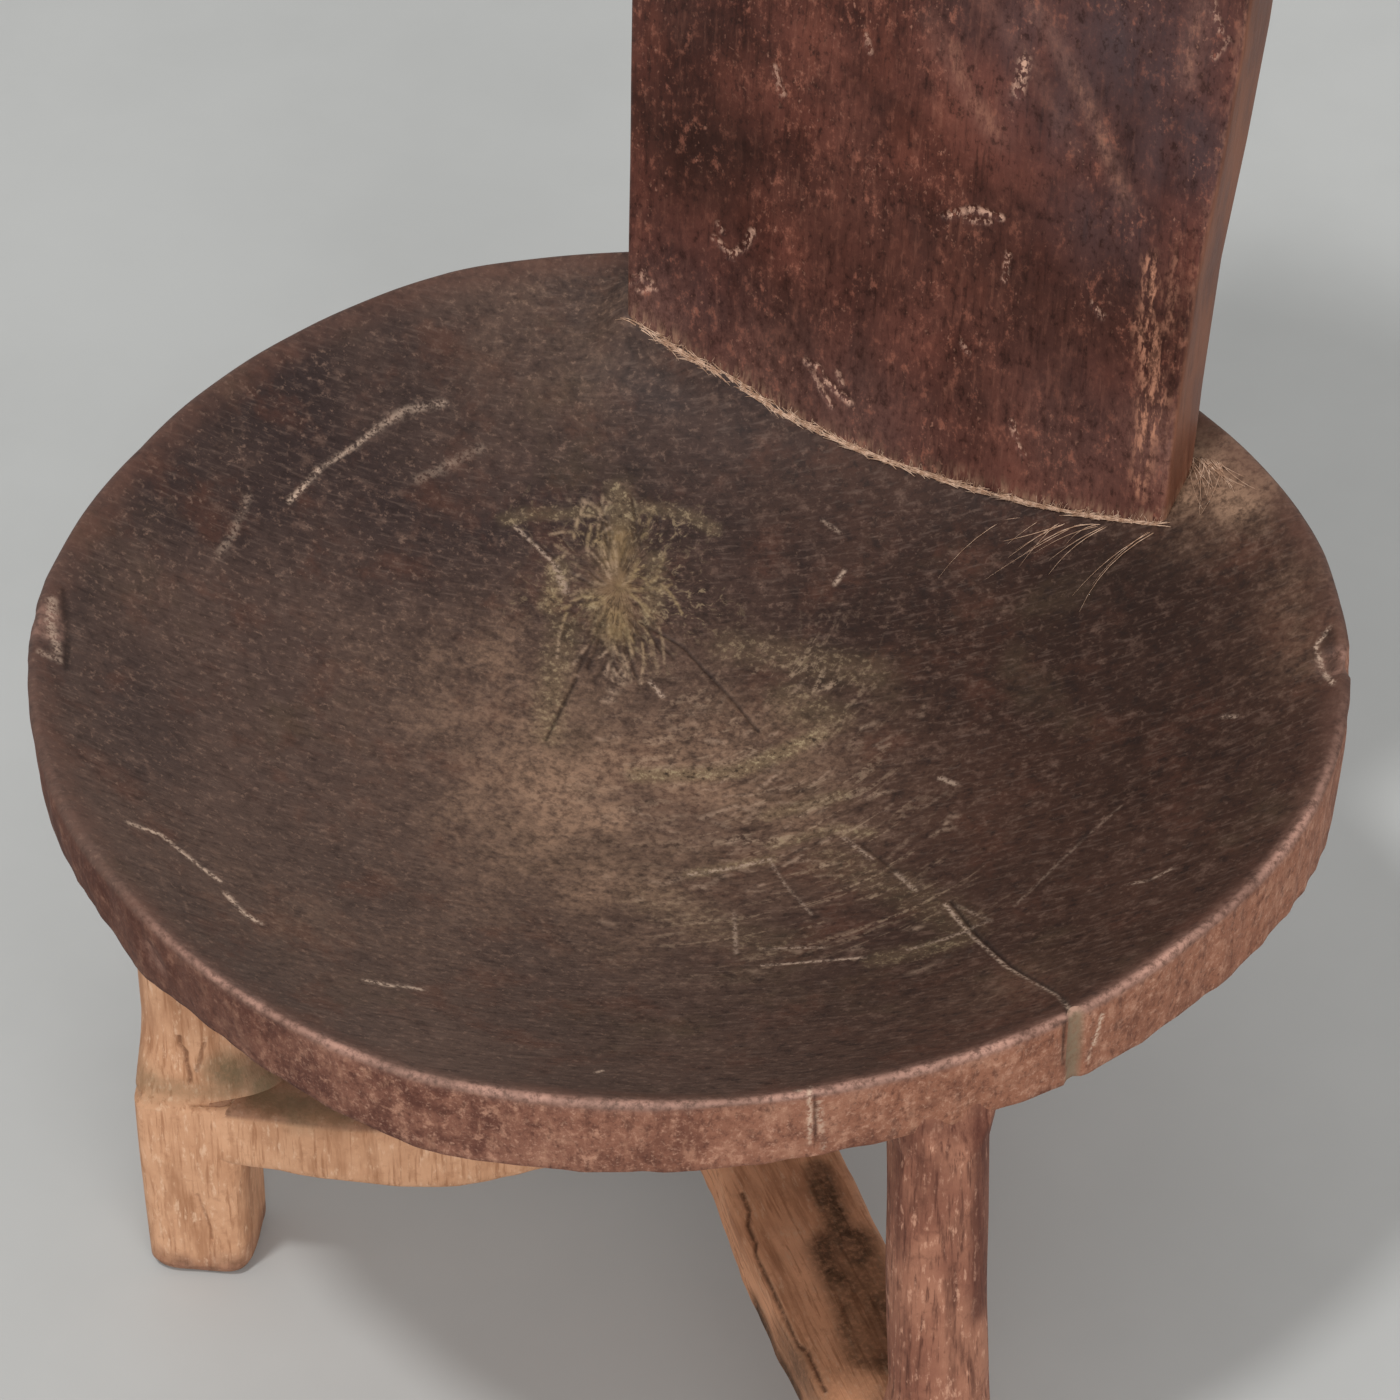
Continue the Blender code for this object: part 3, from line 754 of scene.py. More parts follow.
def back_material():
    """Dark red-brown wood with upright fibres, many small salmon mottles and a rubbed upper part under a
    painted greyish sheen.
    """
    s = Shader("back_wood")
    elsewhere = s.shifted(2.3, 0.9, 1.4)
    grain = s.streaks((500.0, 500.0, 34.0), 4.0, 0.65)
    broad = s.streaks((75.0, 75.0, 18.0), 4.0, 0.62)
    patches = s.noise(s.place, 19.0, 5.0, 0.62)
    stains = s.noise(elsewhere, 11.0, 4.0, 0.6)
    mottle = s.streaks((300.0, 300.0, 190.0), 4.0, 0.72, elsewhere)
    clusters = s.streaks((46.0, 46.0, 30.0), 4.0, 0.65, elsewhere)
    pits = s.streaks((720.0, 720.0, 460.0), 2.0, 0.6)
    dashes = s.streaks((480.0, 480.0, 120.0), 3.0, 0.7, elsewhere)
    fuzz = s.streaks((640.0, 640.0, 90.0), 3.0, 0.7)

    rubbed = s.times(s.painted("worn"), s.ramp(dashes, 0.44, 0.58))
    knocked = s.times(s.painted("scratch"), s.ramp(pits, 0.46, 0.57))
    sides = s.layers(
        s.mix(s.ramp(broad, 0.35, 0.65), (102, 62, 46), (134, 88, 67)),
        (s.ramp(grain, 0.48, 0.30, 0.40), (74, 42, 32)),
    )
    colour = s.layers(
        s.mix(s.ramp(patches, 0.34, 0.66), (60, 30, 24), (118, 68, 56)),
        (s.ramp(stains, 0.44, 0.66, 0.60), (84, 54, 47)),
        (s.ramp(broad, 0.45, 0.72, 0.45), (118, 66, 51)),
        (s.ramp(grain, 0.48, 0.30, 0.58), (44, 22, 17)),
        (s.ramp(grain, 0.54, 0.72, 0.40), (142, 92, 75)),
        (s.painted("dark"), 0.85, (42, 24, 19)),
        # Painted greyish sheen
        (s.painted("grey"), s.ramp(broad, 0.3, 0.7, 1.0, 0.55), (76, 62, 64)),
        (s.ramp(mottle, 0.48, 0.30, 0.75), (42, 22, 18)),
        (s.painted("pale"), s.ramp(mottle, 0.36, 0.62, 1.0, 0.35), (140, 102, 90)),
        (s.ramp(mottle, 0.52, 0.70), s.ramp(clusters, 0.40, 0.62, 1.0, 0.25), 0.62, (164, 104, 84)),
        (s.ramp(pits, 0.60, 0.76), s.ramp(clusters, 0.42, 0.66, 0.55, 0.05), (186, 134, 112)),
        (s.painted("side"), 0.9, sides),
        (s.painted("dust"), s.ramp(fuzz, 0.42, 0.62), (176, 138, 112)),
        (rubbed, s.ramp(mottle, 0.38, 0.56, 1.0, 0.20), (200, 142, 114)),
        (knocked, s.ramp(mottle, 0.38, 0.56, 1.0, 0.25), (212, 168, 145)),
    )
    height = s.math("ADD", s.times(grain, 0.5), s.times(mottle, 0.7))
    return s.finish(colour, s.ramp(broad, 0.3, 0.7, 0.58, 0.42), height, 0.6, 0.0005, 0.25)


def leg_material(name, way, shades):
    """Wood with grain along a direction: broad bands, fine streaks, flecks, patina, dirt with painted shade
    and dark cracks.
    """
    s = Shader(name)
    grain = s.drawn_out(way, 600.0, 45.0)
    bands = s.drawn_out(way, 130.0, 18.0)
    flecks = s.drawn_out(way, 520.0, 150.0, 3.0)
    patches = s.noise(s.place, 42.0, 5.0, 0.62)
    mottle = s.noise(s.shifted(1.9, 5.2, 0.3), 210.0, 4.0, 0.7)
    grit = s.noise(s.place, 620.0, 2.0, 0.6)
    dirt_and_shade_share = s.times(s.painted("dirt"), s.ramp(patches, 0.3, 0.65, 1.0, 0.60))
    aged = s.mix(s.ramp(mottle, 0.35, 0.65), (94, 62, 50), (144, 100, 82))
    colour = s.layers(
        s.mix(s.ramp(patches, 0.32, 0.68), shades["middle"], shades["light"]),
        (s.ramp(bands, 0.47, 0.70, 0.75), shades["dark"]),
        (s.ramp(grain, 0.50, 0.68, 0.80), shades["dark"]),
        (s.ramp(mottle, 0.46, 0.28, 0.40), shades["dark"]),
        (s.ramp(flecks, 0.53, 0.68), s.ramp(mottle, 0.40, 0.58), 0.7, shades["fleck"]),
        (s.painted("patina"), s.ramp(patches, 0.25, 0.55, 1.0, 0.7), aged),
        # Dirt, painted shade and a painted cast shadow
        (dirt_and_shade_share, s.ramp(grit, 0.2, 0.6, 1.0, 0.7), shades["dirt"]),
        (s.painted("check"), s.ramp(grit, 0.3, 0.55, 1.0, 0.5), shades["crack"]),
    )
    height = s.math("ADD", s.times(grain, 0.6), s.times(flecks, 0.4))
    return s.finish(colour, 0.65, height, 0.7, 0.0007, 0.2)


def plain_wood_material(name, dark, light):
    """Bare wood for the wedges and for torn fibres."""
    s = Shader(name)
    grain = s.streaks((500.0, 500.0, 30.0))
    return s.finish(s.mix(s.ramp(grain, 0.35, 0.7), dark, light), 0.8, grain, 0.4, 0.0004, 0.2)


def floor_material():
    """Pale grey floor with faint clouds."""
    s = Shader("pale_floor")
    clouds = s.noise(s.place, 5.0, 5.0, 0.6)
    colour = s.mix(s.ramp(clouds, 0.3, 0.7), (186, 187, 185), (192, 193, 191))
    return s.finish(colour, 0.75, clouds, 0.05, 0.0005, 0.2)


# Seat

# How far the rim stands out of a true circle, as (bearing in degrees, millimetres)
RIM_WANDER = (
    (-180, -3.0), (-160, 0.0), (-118, -1.5), (-84, 3.0), (-48, -2.5), (-14, -3.2), (6, 0.8), (41, 2.4),
    (70, -0.5), (110, -0.5), (141, 2.4), (180, -3.0),
)
# How much taller the wall is than its usual height, the same way
WALL_WANDER = (
    (-180, -3.0), (-137, -3.5), (-128, -4.7), (-123, -5.5), (-119, -4.0), (-115.5, 0.5), (-107, -3.0),
    (-95, -0.5), (-81, 3.5), (-65, 1.0), (-50, 0.0), (-38, -0.5), (-25, 1.5), (-10, 3.5), (5, 6.0), (18, 9.0),
    (50, 4.0), (90, -1.0), (180, -3.0),
)
# The distance from the seat's axis where both begin
WANDER_START = 0.150
# Pale scratches in the dish and on the rim, in the photograph's pixels: path, half width, strength
SEAT_SCRATCHES = (
    (((288, 502), (318, 470)), 0.0016, 0.85),
    (((318, 470), (352, 448), (378, 428)), 0.0015, 0.60),
    (((378, 428), (405, 411), (444, 404)), 0.0024, 0.42),
    (((418, 480), (450, 464), (480, 448)), 0.0030, 0.20),
    (((216, 556), (232, 530), (246, 492)), 0.0026, 0.26),
    (((126, 825), (160, 836), (190, 860), (218, 881)), 0.0017, 0.95),
    (((224, 893), (240, 910), (260, 923)), 0.0018, 0.95),
    (((367, 980), (392, 985)), 0.0021, 0.85),
    (((400, 985), (420, 989)), 0.0018, 0.75),
    (((762, 966), (866, 958)), 0.0011, 0.62),
    (((759, 950), (825, 948)), 0.0013, 0.42),
    (((908, 950), (944, 939), (968, 930)), 0.0014, 0.42),
    (((734, 915), (736, 955)), 0.0012, 0.35),
    (((894, 872), (916, 892)), 0.0013, 0.50),
    (((945, 905), (969, 933), (1006, 966), (1062, 1000), (1080, 1018)), 0.0011, 0.60),
    (((957, 906), (991, 921), (969, 928)), 0.0012, 0.32),
    (((844, 837), (872, 859)), 0.0012, 0.55),
    (((769, 859), (784, 884), (812, 916)), 0.0010, 0.35),
    (((690, 875), (735, 868), (769, 859)), 0.0015, 0.55),
    (((1015, 906), (1087, 837), (1122, 806)), 0.0010, 0.20),
    (((1128, 884), (1150, 880), (1172, 868)), 0.0013, 0.42),
    (((1222, 717), (1234, 717)), 0.0012, 0.70),
    (((940, 778), (955, 784)), 0.0016, 0.50),
    (((515, 526), (553, 562)), 0.0012, 0.58),
    (((650, 682), (662, 697)), 0.0014, 0.62),
    (((556, 567), (565, 591)), 0.0024, 0.45),
    (((835, 585), (845, 572)), 0.0013, 0.66),
    (((822, 522), (840, 534)), 0.0011, 0.48),
    (((811, 1090), (812, 1152)), 0.0013, 0.72),
    (((820, 1108), (826, 1156)), 0.0018, 0.50),
    (((798, 1092), (832, 1092)), 0.0015, 0.55),
    (((1109, 1021), (1103, 1042), (1095, 1066)), 0.0016, 0.90),
    (((1324, 628), (1311, 646), (1315, 668), (1336, 692)), 0.0013, 0.80),
    (((52, 600), (50, 622), (56, 650)), 0.0030, 0.50),
    (((40, 652), (58, 660)), 0.0024, 0.45),
    (((596, 1072), (602, 1070)), 0.0012, 0.70),
)
# Dark checks, the same way
SEAT_CHECKS = (
    (((640, 622), (683, 647), (715, 682), (735, 703), (758, 732)), 0.0010, 0.62),
    (((606, 614), (577, 673)), 0.0009, 0.55),
    (((577, 678), (546, 741)), 0.0011, 0.75),
    (((590, 600), (560, 640)), 0.0009, 0.50),
    (((622, 630), (640, 690)), 0.0008, 0.42),
    (((951, 902), (976, 933), (1012, 966), (1066, 1000), (1074, 1012), (1069, 1066)), 0.0010, 0.72),
    (((860, 842), (905, 880)), 0.0009, 0.45),
    (((816, 1096), (818, 1152)), 0.0010, 0.60),
    (((1071, 1008), (1070, 1070)), 0.0014, 0.55),
    (((1322, 634), (1324, 664)), 0.0040, 0.60),
    (((64, 590), (68, 640), (66, 668)), 0.0022, 0.55),
    (((600, 640), (588, 668)), 0.0010, 0.60),
    (((612, 648), (612, 672)), 0.0010, 0.50),
    (((642, 618), (660, 650)), 0.0011, 0.55),
)
# Bands of fine pale and dark dots, such as growth rings rubbed bare, the same way
SEAT_SPECKS = (
    (((505, 520), (530, 514), (565, 514), (600, 510), (650, 508), (690, 516), (715, 530)), 0.0038, 0.60),
    (((618, 492), (622, 515)), 0.0070, 0.75),
    (((558, 568), (556, 590), (550, 606)), 0.0060, 0.75),
    (((656, 560), (654, 600), (648, 622)), 0.0055, 0.70),
    (((590, 596), (602, 630)), 0.0050, 0.70),
    (((637, 776), (694, 775), (734, 772), (775, 756), (820, 735)), 0.0056, 1.00),
    (((690, 875), (769, 859)), 0.0042, 0.65),
    (((769, 815), (844, 794)), 0.0046, 0.55),
    (((775, 844), (831, 828), (868, 832)), 0.0046, 0.55),
    (((730, 648), (790, 656), (838, 668), (868, 672)), 0.0110, 0.34),
    (((565, 625), (552, 690), (548, 735)), 0.0085, 0.55),
    (((650, 900), (720, 930), (765, 945)), 0.0150, 0.22),
    (((830, 860), (900, 890), (960, 925)), 0.0130, 0.28),
    (((880, 960), (960, 940)), 0.0080, 0.42),
    (((790, 700), (830, 720)), 0.0120, 0.45),
)
# Areas where worn growth rings show as broken arcs: pixel, radius, strength
SEAT_RINGED = (
    ((720, 760), 0.036, 0.65), ((800, 830), 0.036, 0.85), ((860, 900), 0.036, 0.70),
    ((720, 930), 0.030, 0.50), ((800, 690), 0.026, 0.70), ((620, 800), 0.030, 0.30),
    ((930, 900), 0.026, 0.55),
)
# Dusty, rubbed areas of the dish, the same way
DUSTY = (
    ((640, 745), 0.042, 0.50), ((760, 770), 0.036, 0.48), ((560, 810), 0.032, 0.42),
    # The strong spot at the back's right foot is real dust laid extra pale: partly painted light against the
    # back's shadow
    ((800, 850), 0.030, 0.20), ((615, 580), 0.014, 0.25), ((1214, 470), 0.020, 1.60),
    ((1236, 496), 0.015, 0.80), ((560, 330), 0.034, 0.22), ((520, 660), 0.024, 0.20),
    ((430, 900), 0.050, 0.12), ((600, 880), 0.036, 0.42), ((1192, 490), 0.010, 0.80),
    ((430, 670), 0.030, 0.26), ((500, 780), 0.034, 0.22), ((570, 825), 0.028, 0.22),
    ((640, 920), 0.024, 0.24), ((300, 930), 0.034, 0.16), ((1292, 590), 0.020, 0.22),
    ((1305, 650), 0.018, 0.20), ((1020, 985), 0.022, 0.16),
)
# Darker areas, the same way
SEAT_DARK = (
    ((1140, 585), 0.022, 0.70), ((1190, 660), 0.030, 0.50), ((1030, 680), 0.016, 0.40),
    ((830, 680), 0.012, 0.45), ((925, 930), 0.012, 0.40), ((440, 390), 0.040, 0.28),
    ((640, 490), 0.022, 0.30), ((770, 500), 0.020, 0.35), ((1180, 770), 0.030, 0.30),
    ((1010, 880), 0.018, 0.30), ((590, 640), 0.012, 0.35), ((730, 630), 0.010, 0.35),
)
# The star of checks round the pith: its reach, and its middle and half sizes in the photograph's pixels
STAR_REACH = 0.046
STAR_PIXEL = np.array((614.0, 592.0))
STAR_SPREAD = np.array((78.0, 108.0))
STAR_STROKES = 70
STROKE_SEED = 23
# The pale streak in the star's middle
STAR_CORE = ((618, 538), (617, 575), (612, 604), (616, 630))
STAR_CORE_WIDTH = 0.0060
# The area where worn growth rings show as dashes: its middle and half sizes, and how many there are
DASH_PIXEL = np.array((780.0, 830.0))
DASH_SPREAD = np.array((170.0, 140.0))
PALE_DASHES = 130
DARK_DASHES = 60
DARK_STRENGTH = 0.6
# How far round the star and among the dashes the mesh is fine
STAR_DISC = 0.034
DASH_DISC = 0.055
# Edges are halved once this near a mark and again this near, and those among the dashes only once
SEAT_LEVELS = (0.0042, 0.0022)
DASH_LEVEL = 0.003
# Chips out of the rim: pixel, width along the rim, depth
RIM_CHIPS = (((45, 622), 0.0110, 0.0006), ((1330, 660), 0.0095, 0.0026), ((150, 960), 0.0090, 0.0010))
# The bearing round which the rim's edge is rubbed pale and carries a painted highlight
PALE_RIM_BEARING = math.radians(-50)
# Where that pale line runs, in from the outline and down from the rim's top: middle, width
PALE_LINE_IN = (0.0016, 0.0015)
PALE_LINE_DOWN = (0.0008, 0.0016)
# The split in the rim, and how far in and how far below the wall it reaches
SPLIT_PIXEL = (1083, 1036)
SPLIT_WIDTH = 0.0062
SPLIT_DEPTH = 0.0012
SPLIT_REACH = 0.010
SPLIT_BELOW = 0.004
# Where the wall, the underside and the rim begin and where they are full, in from the seat's outline
WALL_ZONE = (0.0040, 0.0012)
UNDER_ZONE = (0.003, 0.006)
RIM_ZONE = (0.013, 0.004)
# The same for the wall, down from the rim's top
WALL_TOP = (0.0008, 0.0030)
# What lies this far below the dish's curve isn't on top, and that far inside the dish's edge it stays coarse
TOP_SIDE = 0.010
COARSE_INSET = 0.015
# Further in than this the dish keeps its height where the wall is taller
RIM_WIDTH = 0.008
# Unevenness: height, bump size, seed
SEAT_RELIEF = ((0.0008, 0.060, 1), (0.0003, 0.020, 2))
WALL_RELIEF = ((0.0005, (0.0060, 0.0060, 0.016), 3), (0.0005, 0.030, 7))
UNDER_RELIEF = ((0.0012, 0.022, 4), (0.0005, 0.009, 5))
CHECK_DEPTH = 0.0007
SCRATCH_DEPTH = 0.0002


def seat_rings():
    """Rings from the dish's middle round the rim to the underside's: radius, height, vertex spacing."""
    shoulder, edge = RIM_TOP - RIM_ROUND, SEAT_RADIUS - UNDERSIDE_INSET
    dish_radii = np.arange(SEAT_STEP, DISH_RADIUS - RIM_ROUND, SEAT_STEP)
    profile = [(radius, dish_height(radius), SEAT_STEP) for radius in dish_radii]
    for turn in RIM_TURNS:
        radius = SEAT_RADIUS - RIM_ROUND + RIM_ROUND * math.cos(turn)
        profile.append((radius, shoulder + RIM_ROUND * math.sin(turn), SEAT_STEP))
    for share in np.arange(1, WALL_ROWS + 1) / WALL_ROWS:
        height = shoulder + (RIM_ROUND - RIM_HEIGHT) * share
        profile.append((SEAT_RADIUS - UNDERSIDE_INSET * share**2, height, SEAT_STEP))
    for radius in np.arange(edge - UNDERSIDE_EDGE, SEAT_STEP, -UNDERSIDE_STEP):
        spacing = SEAT_STEP if edge - radius < 2 * UNDERSIDE_STEP else UNDERSIDE_STEP
        profile.append((radius, underside_height(radius), spacing))
    return profile


def ring_columns(radius, spacing):
    """How many vertices a ring has, so that they keep about that spacing and rings can be stitched."""
    doublings = math.ceil(math.log2(2 * math.pi * radius / (FEWEST_COLUMNS * spacing)))
    return FEWEST_COLUMNS * 2 ** max(0, doublings)


def seat_mesh():
    """The seat's true form before it is worn."""
    points, faces, rings = [(0.0, SEAT_Y, dish_height(0.0))], [], []
    for radius, height, spacing in seat_rings():
        count = ring_columns(radius, spacing)
        if rings:
            count = min(count, 2 * len(rings[-1]))
        rings.append(range(len(points), len(points) + count))
        points += [(radius * math.cos(t), SEAT_Y + radius * math.sin(t), height) for t in round_turns(count)]
    first, last = rings[0], rings[-1]
    faces += [(0, first[i], first[(i + 1) % len(first)]) for i in range(len(first))]
    for inner, outer in zip(rings[:-1], rings[1:]):
        faces += stitch(inner, outer)
    points.append((0.0, SEAT_Y, underside_height(0.0)))
    faces += [(len(points) - 1, last[(i + 1) % len(last)], last[i]) for i in range(len(last))]
    return add_piece("seat", points, faces)


def star_strokes(random):
    """Short strokes that run out from the star's middle: points, half width and strength of each."""
    strokes = []
    for _ in range(STAR_STROKES):
        first, bend = random.uniform(0.12, 0.75), random.normal(0.0, 0.12)
        last = first + random.uniform(0.10, 0.34)
        turns = random.uniform(0, 2 * math.pi) + bend * np.arange(3)
        shares = np.linspace(first, last, 3)
        pixels = [STAR_PIXEL + STAR_SPREAD * r * (math.cos(t), math.sin(t)) for r, t in zip(shares, turns)]
        path = np.array([seat_spot(p) for p in pixels])
        strokes.append((path, random.uniform(0.0008, 0.0012), random.uniform(0.30, 0.85)))
    return strokes


def ring_dashes(random, count):
    """Short dashes along the growth rings in the worn part of the dish, the same way."""
    strokes = []
    for _ in range(count):
        pixel = DASH_PIXEL + DASH_SPREAD * np.clip(random.normal(0.0, 0.5, 2), -1, 1)
        middle = seat_spot(pixel)[:2] - (0.0, SEAT_Y)
        angle = math.pi / 2 + random.normal(0.0, 0.45)
        run = turned(unit(middle - PITH), angle) * random.uniform(0.001, 0.005)
        path = np.array([dish_point(*(middle + run * t)) for t in (-1, 0, 1)])
        strokes.append((path, random.uniform(0.0008, 0.0014), random.uniform(0.12, 0.55)))
    return strokes


def seat_places(points):
    """Where points lie on the seat: from its axis, in from its outline and down from its rim."""
    x, y, z = (points - (0.0, SEAT_Y, 0.0)).T
    radius = np.hypot(x, y)
    return SimpleNamespace(
        x=x, y=y, z=z, radius=radius, bearing=np.arctan2(y, x), inset=SEAT_RADIUS - radius, below=RIM_TOP - z,
        on_top=dish_height(radius) - z < TOP_SIDE,
    )


def refine_seat(seat, strokes):
    """Makes the mesh fine along the strokes, in the star and among the dashes, but not under the dish."""
    star, dashes = seat_spot(STAR_PIXEL), seat_spot(DASH_PIXEL)

    def reach(points):
        at = seat_places(points)
        to_star = np.linalg.norm(points - star, axis=1) - STAR_DISC
        to_dashes = np.clip(np.linalg.norm(points - dashes, axis=1) - DASH_DISC, 0.0, None) + DASH_LEVEL
        nearest = np.min([distance_to_strokes(points, strokes), to_star, to_dashes], axis=0)
        return np.where(~at.on_top & (at.radius < DISH_RADIUS - COARSE_INSET), np.inf, nearest)

    refine(seat, reach, SEAT_LEVELS)


def rim_wear_and_highlight(points, at):
    """How pale the rim's edge is, part wear and part painted highlight: most on one side, and in patches."""
    facing = 0.5 - 0.5 * np.cos(at.bearing - PALE_RIM_BEARING - math.pi)
    shown = 0.06 + 0.94 * smoothstep(0.64, 0.86, facing)
    line = bell(at.inset - PALE_LINE_IN[0], PALE_LINE_IN[1]) * bell(at.below - PALE_LINE_DOWN[0], PALE_LINE_DOWN[1])
    return shown * line * patchy(points, 1.10, 0.60, 0.016, 6)


def rim_split(points, at):
    """1 inside the split in the rim, 0 outside."""
    across = np.linalg.norm((points - seat_spot(SPLIT_PIXEL)) * (1.0, 1.0, 0.0), axis=1)
    gap = 1 - smoothstep(0.35 * SPLIT_WIDTH, 0.6 * SPLIT_WIDTH, across)
    return gap * (at.inset < SPLIT_REACH) * (at.below < RIM_HEIGHT + SPLIT_BELOW)


def pith_star(points, at):
    """How far each point lies inside the star round the pith, in patches."""
    away = np.hypot(at.x - PITH[0], at.y - PITH[1]) + 0.014 * noise(points, 0.018, 12)
    patches = smoothstep(-0.25, 0.25, noise(points, 0.011, 14) + 0.25)
    return smoothstep(STAR_REACH, 0.4 * STAR_REACH, away) * (0.35 + 0.65 * patches)


def move_seat(seat, points, at, lift, push):
    """Moves the points by their lift and outward, with the rim's wandering and the rise at the back."""
    rim_share = smoothstep(WANDER_START, SEAT_RADIUS, at.radius)
    push = push + rim_share * wander(at.bearing, RIM_WANDER)
    outward = np.stack([np.cos(at.bearing), np.sin(at.bearing), np.zeros_like(at.bearing)], axis=1)
    moved = points + lift + outward * push[:, None]
    low_share = smoothstep(0.4 * RIM_HEIGHT, RIM_HEIGHT, at.below) * rim_share
    in_dish = at.on_top & (at.inset > RIM_WIDTH)
    moved[:, 2] -= np.where(in_dish, 0.0, low_share) * wander(at.bearing, WALL_WANDER)
    forward = BACK_FRONT - at.y + (at.z - BACK_FOOT[2]) * math.tan(BACK_LEAN)
    moved[:, 2] += np.where(at.on_top & (at.radius < DISH_RADIUS), foot_rise(at.x, forward), 0.0)
    set_points(seat, moved)


def make_seat(material):
    """The dished seat with its worn rim, chips, split, checks and scratches."""
    seat = seat_mesh()
    random = np.random.default_rng(STROKE_SEED)
    marks = (SEAT_SCRATCHES, SEAT_CHECKS, SEAT_SPECKS)
    scratches, checks, specks = (lay(rows, seat_spot) for rows in marks)
    refine_seat(seat, scratches + checks)
    tufts = star_strokes(random) + ring_dashes(random, PALE_DASHES)
    dark_strokes = star_strokes(random) + ring_dashes(random, DARK_DASHES)
    checks += [(path, width, DARK_STRENGTH * strength) for path, width, strength in dark_strokes]

    points, normals = points_and_normals(seat)
    at = seat_places(points)
    wall = smoothstep(*WALL_ZONE, at.inset) * smoothstep(*WALL_TOP, at.below)
    under = np.where(at.on_top, 0.0, smoothstep(*UNDER_ZONE, at.inset))
    clear = tenon_clearance(points)
    check, scratch = stroke_cover(points, checks), stroke_cover(points, scratches)
    gap = rim_split(points, at)
    lift = relief(points, SEAT_RELIEF) + wall * relief(points, WALL_RELIEF)
    lift += under * clear * relief(points, UNDER_RELIEF) - under * (1 - clear) * TENON_MOUTH
    lift -= CHECK_DEPTH * check + SCRATCH_DEPTH * scratch
    # The pale rim line is part wear and part painted highlight
    worn = np.maximum(rim_wear_and_highlight(points, at), 0.15 * gap)
    for pixel, width, depth in RIM_CHIPS:
        away = np.linalg.norm((points - seat_spot(pixel)) / (1.0, 1.0, 0.8), axis=1)
        bite = (1 - smoothstep(0.45 * width, width, away)) * patchy(points, 0.75, 0.25, 0.004, 8)
        lift -= depth * bite
        worn = np.maximum(worn, 0.8 * bite * patchy(points, 0.6, 0.4, 0.003, 11))
    core = distance_to_path(points, np.array([seat_spot(p) for p in along_path(STAR_CORE)]))

    move_seat(seat, points, at, normals * lift[:, None], -SPLIT_DEPTH * gap)
    paint(
        seat,
        wall=np.maximum(wall, under),
        rim=smoothstep(*RIM_ZONE, at.inset) * patchy(points, 0.75, 0.4, 0.02, 10),
        groove=gap,
        speck=stroke_cover(points, specks),
        dust=sum(area_covers(points, DUSTY, seat_spot)) * patchy(points, 0.75, 0.5, 0.014, 9),
        worn=worn,
        check=check,
        scratch=scratch,
        star=pith_star(points, at),
        core=bell(core, STAR_CORE_WIDTH) * patchy(points, 0.8, 0.4, 0.006, 13),
        ringed=np.max(area_covers(points, SEAT_RINGED, seat_spot), axis=0),
        tuft=stroke_cover(points, tufts),
        stain=np.max(area_covers(points, SEAT_DARK, seat_spot), axis=0),
    )
    dress(seat, material, "seat_wood", "seat_dish")


# Back

# Knocks in the back's front face, in the photograph's pixels: path, half width, strength
BACK_KNOCKS = (
    (((1025, 60), (1021, 76), (1018, 92)), 0.0032, 1.00),
    (((945, 216), (975, 209), (1002, 218)), 0.0022, 0.90),
    (((966, 220), (990, 222)), 0.0019, 0.60),
    (((714, 238), (724, 248), (732, 258)), 0.0020, 0.70),
    (((752, 232), (744, 248), (728, 256)), 0.0022, 0.80),
    (((718, 224), (722, 232)), 0.0019, 0.50),
    (((806, 362), (818, 368), (824, 384)), 0.0024, 0.95),
    (((822, 378), (836, 390), (850, 402)), 0.0024, 1.00),
    (((812, 372), (822, 392), (832, 406)), 0.0019, 0.80),
    (((838, 372), (842, 384)), 0.0018, 0.70),
    (((628, 282), (640, 277), (652, 284)), 0.0023, 0.85),
    (((638, 290), (656, 288)), 0.0019, 0.75),
    (((646, 268), (640, 277)), 0.0018, 0.65),
    (((1012, 423), (1016, 437)), 0.0019, 0.90),
    (((1018, 446), (1024, 456)), 0.0018, 0.80),
    (((1009, 254), (1005, 280)), 0.0020, 0.70),
    (((774, 68), (782, 94)), 0.0022, 0.60),
    (((866, 36), (870, 52)), 0.0018, 0.60),
    (((1208, 0), (1216, 28)), 0.0022, 0.60),
    (((1224, 38), (1210, 56)), 0.0019, 0.50),
    (((962, 342), (968, 352)), 0.0018, 0.55),
    (((1098, 306), (1106, 318)), 0.0024, 0.60),
)
KNOCK_DEPTH = 0.0006
KNOCK_LEVELS = (0.0045, 0.0028)
# Rubbed strips, the same way
BACK_WORN = (
    (((1158, 262), (1156, 310)), 0.0050, 1.00),
    (((1154, 330), (1160, 400), (1156, 430)), 0.0080, 1.00),
    (((1150, 436), (1146, 490)), 0.0065, 0.80),
    (((1172, 400), (1168, 430)), 0.0040, 0.60),
    (((1186, 240), (1176, 330)), 0.0034, 0.40),
    (((950, 40), (965, 90), (995, 130)), 0.0050, 0.25),
    (((1072, 70), (1098, 130), (1110, 160), (1125, 195)), 0.0030, 0.30),
    (((1192, 15), (1182, 75)), 0.0040, 0.30),
)
# Soft pale smears, the same way
BACK_SMEARS = (
    (((1036, 10), (1072, 70), (1098, 130), (1128, 200)), 0.0065, 0.42),
    (((1198, 5), (1186, 80)), 0.0070, 0.36),
    (((985, 0), (1030, 60), (1075, 150)), 0.0060, 0.22),
    (((930, 20), (962, 90), (1000, 140)), 0.0075, 0.24),
)
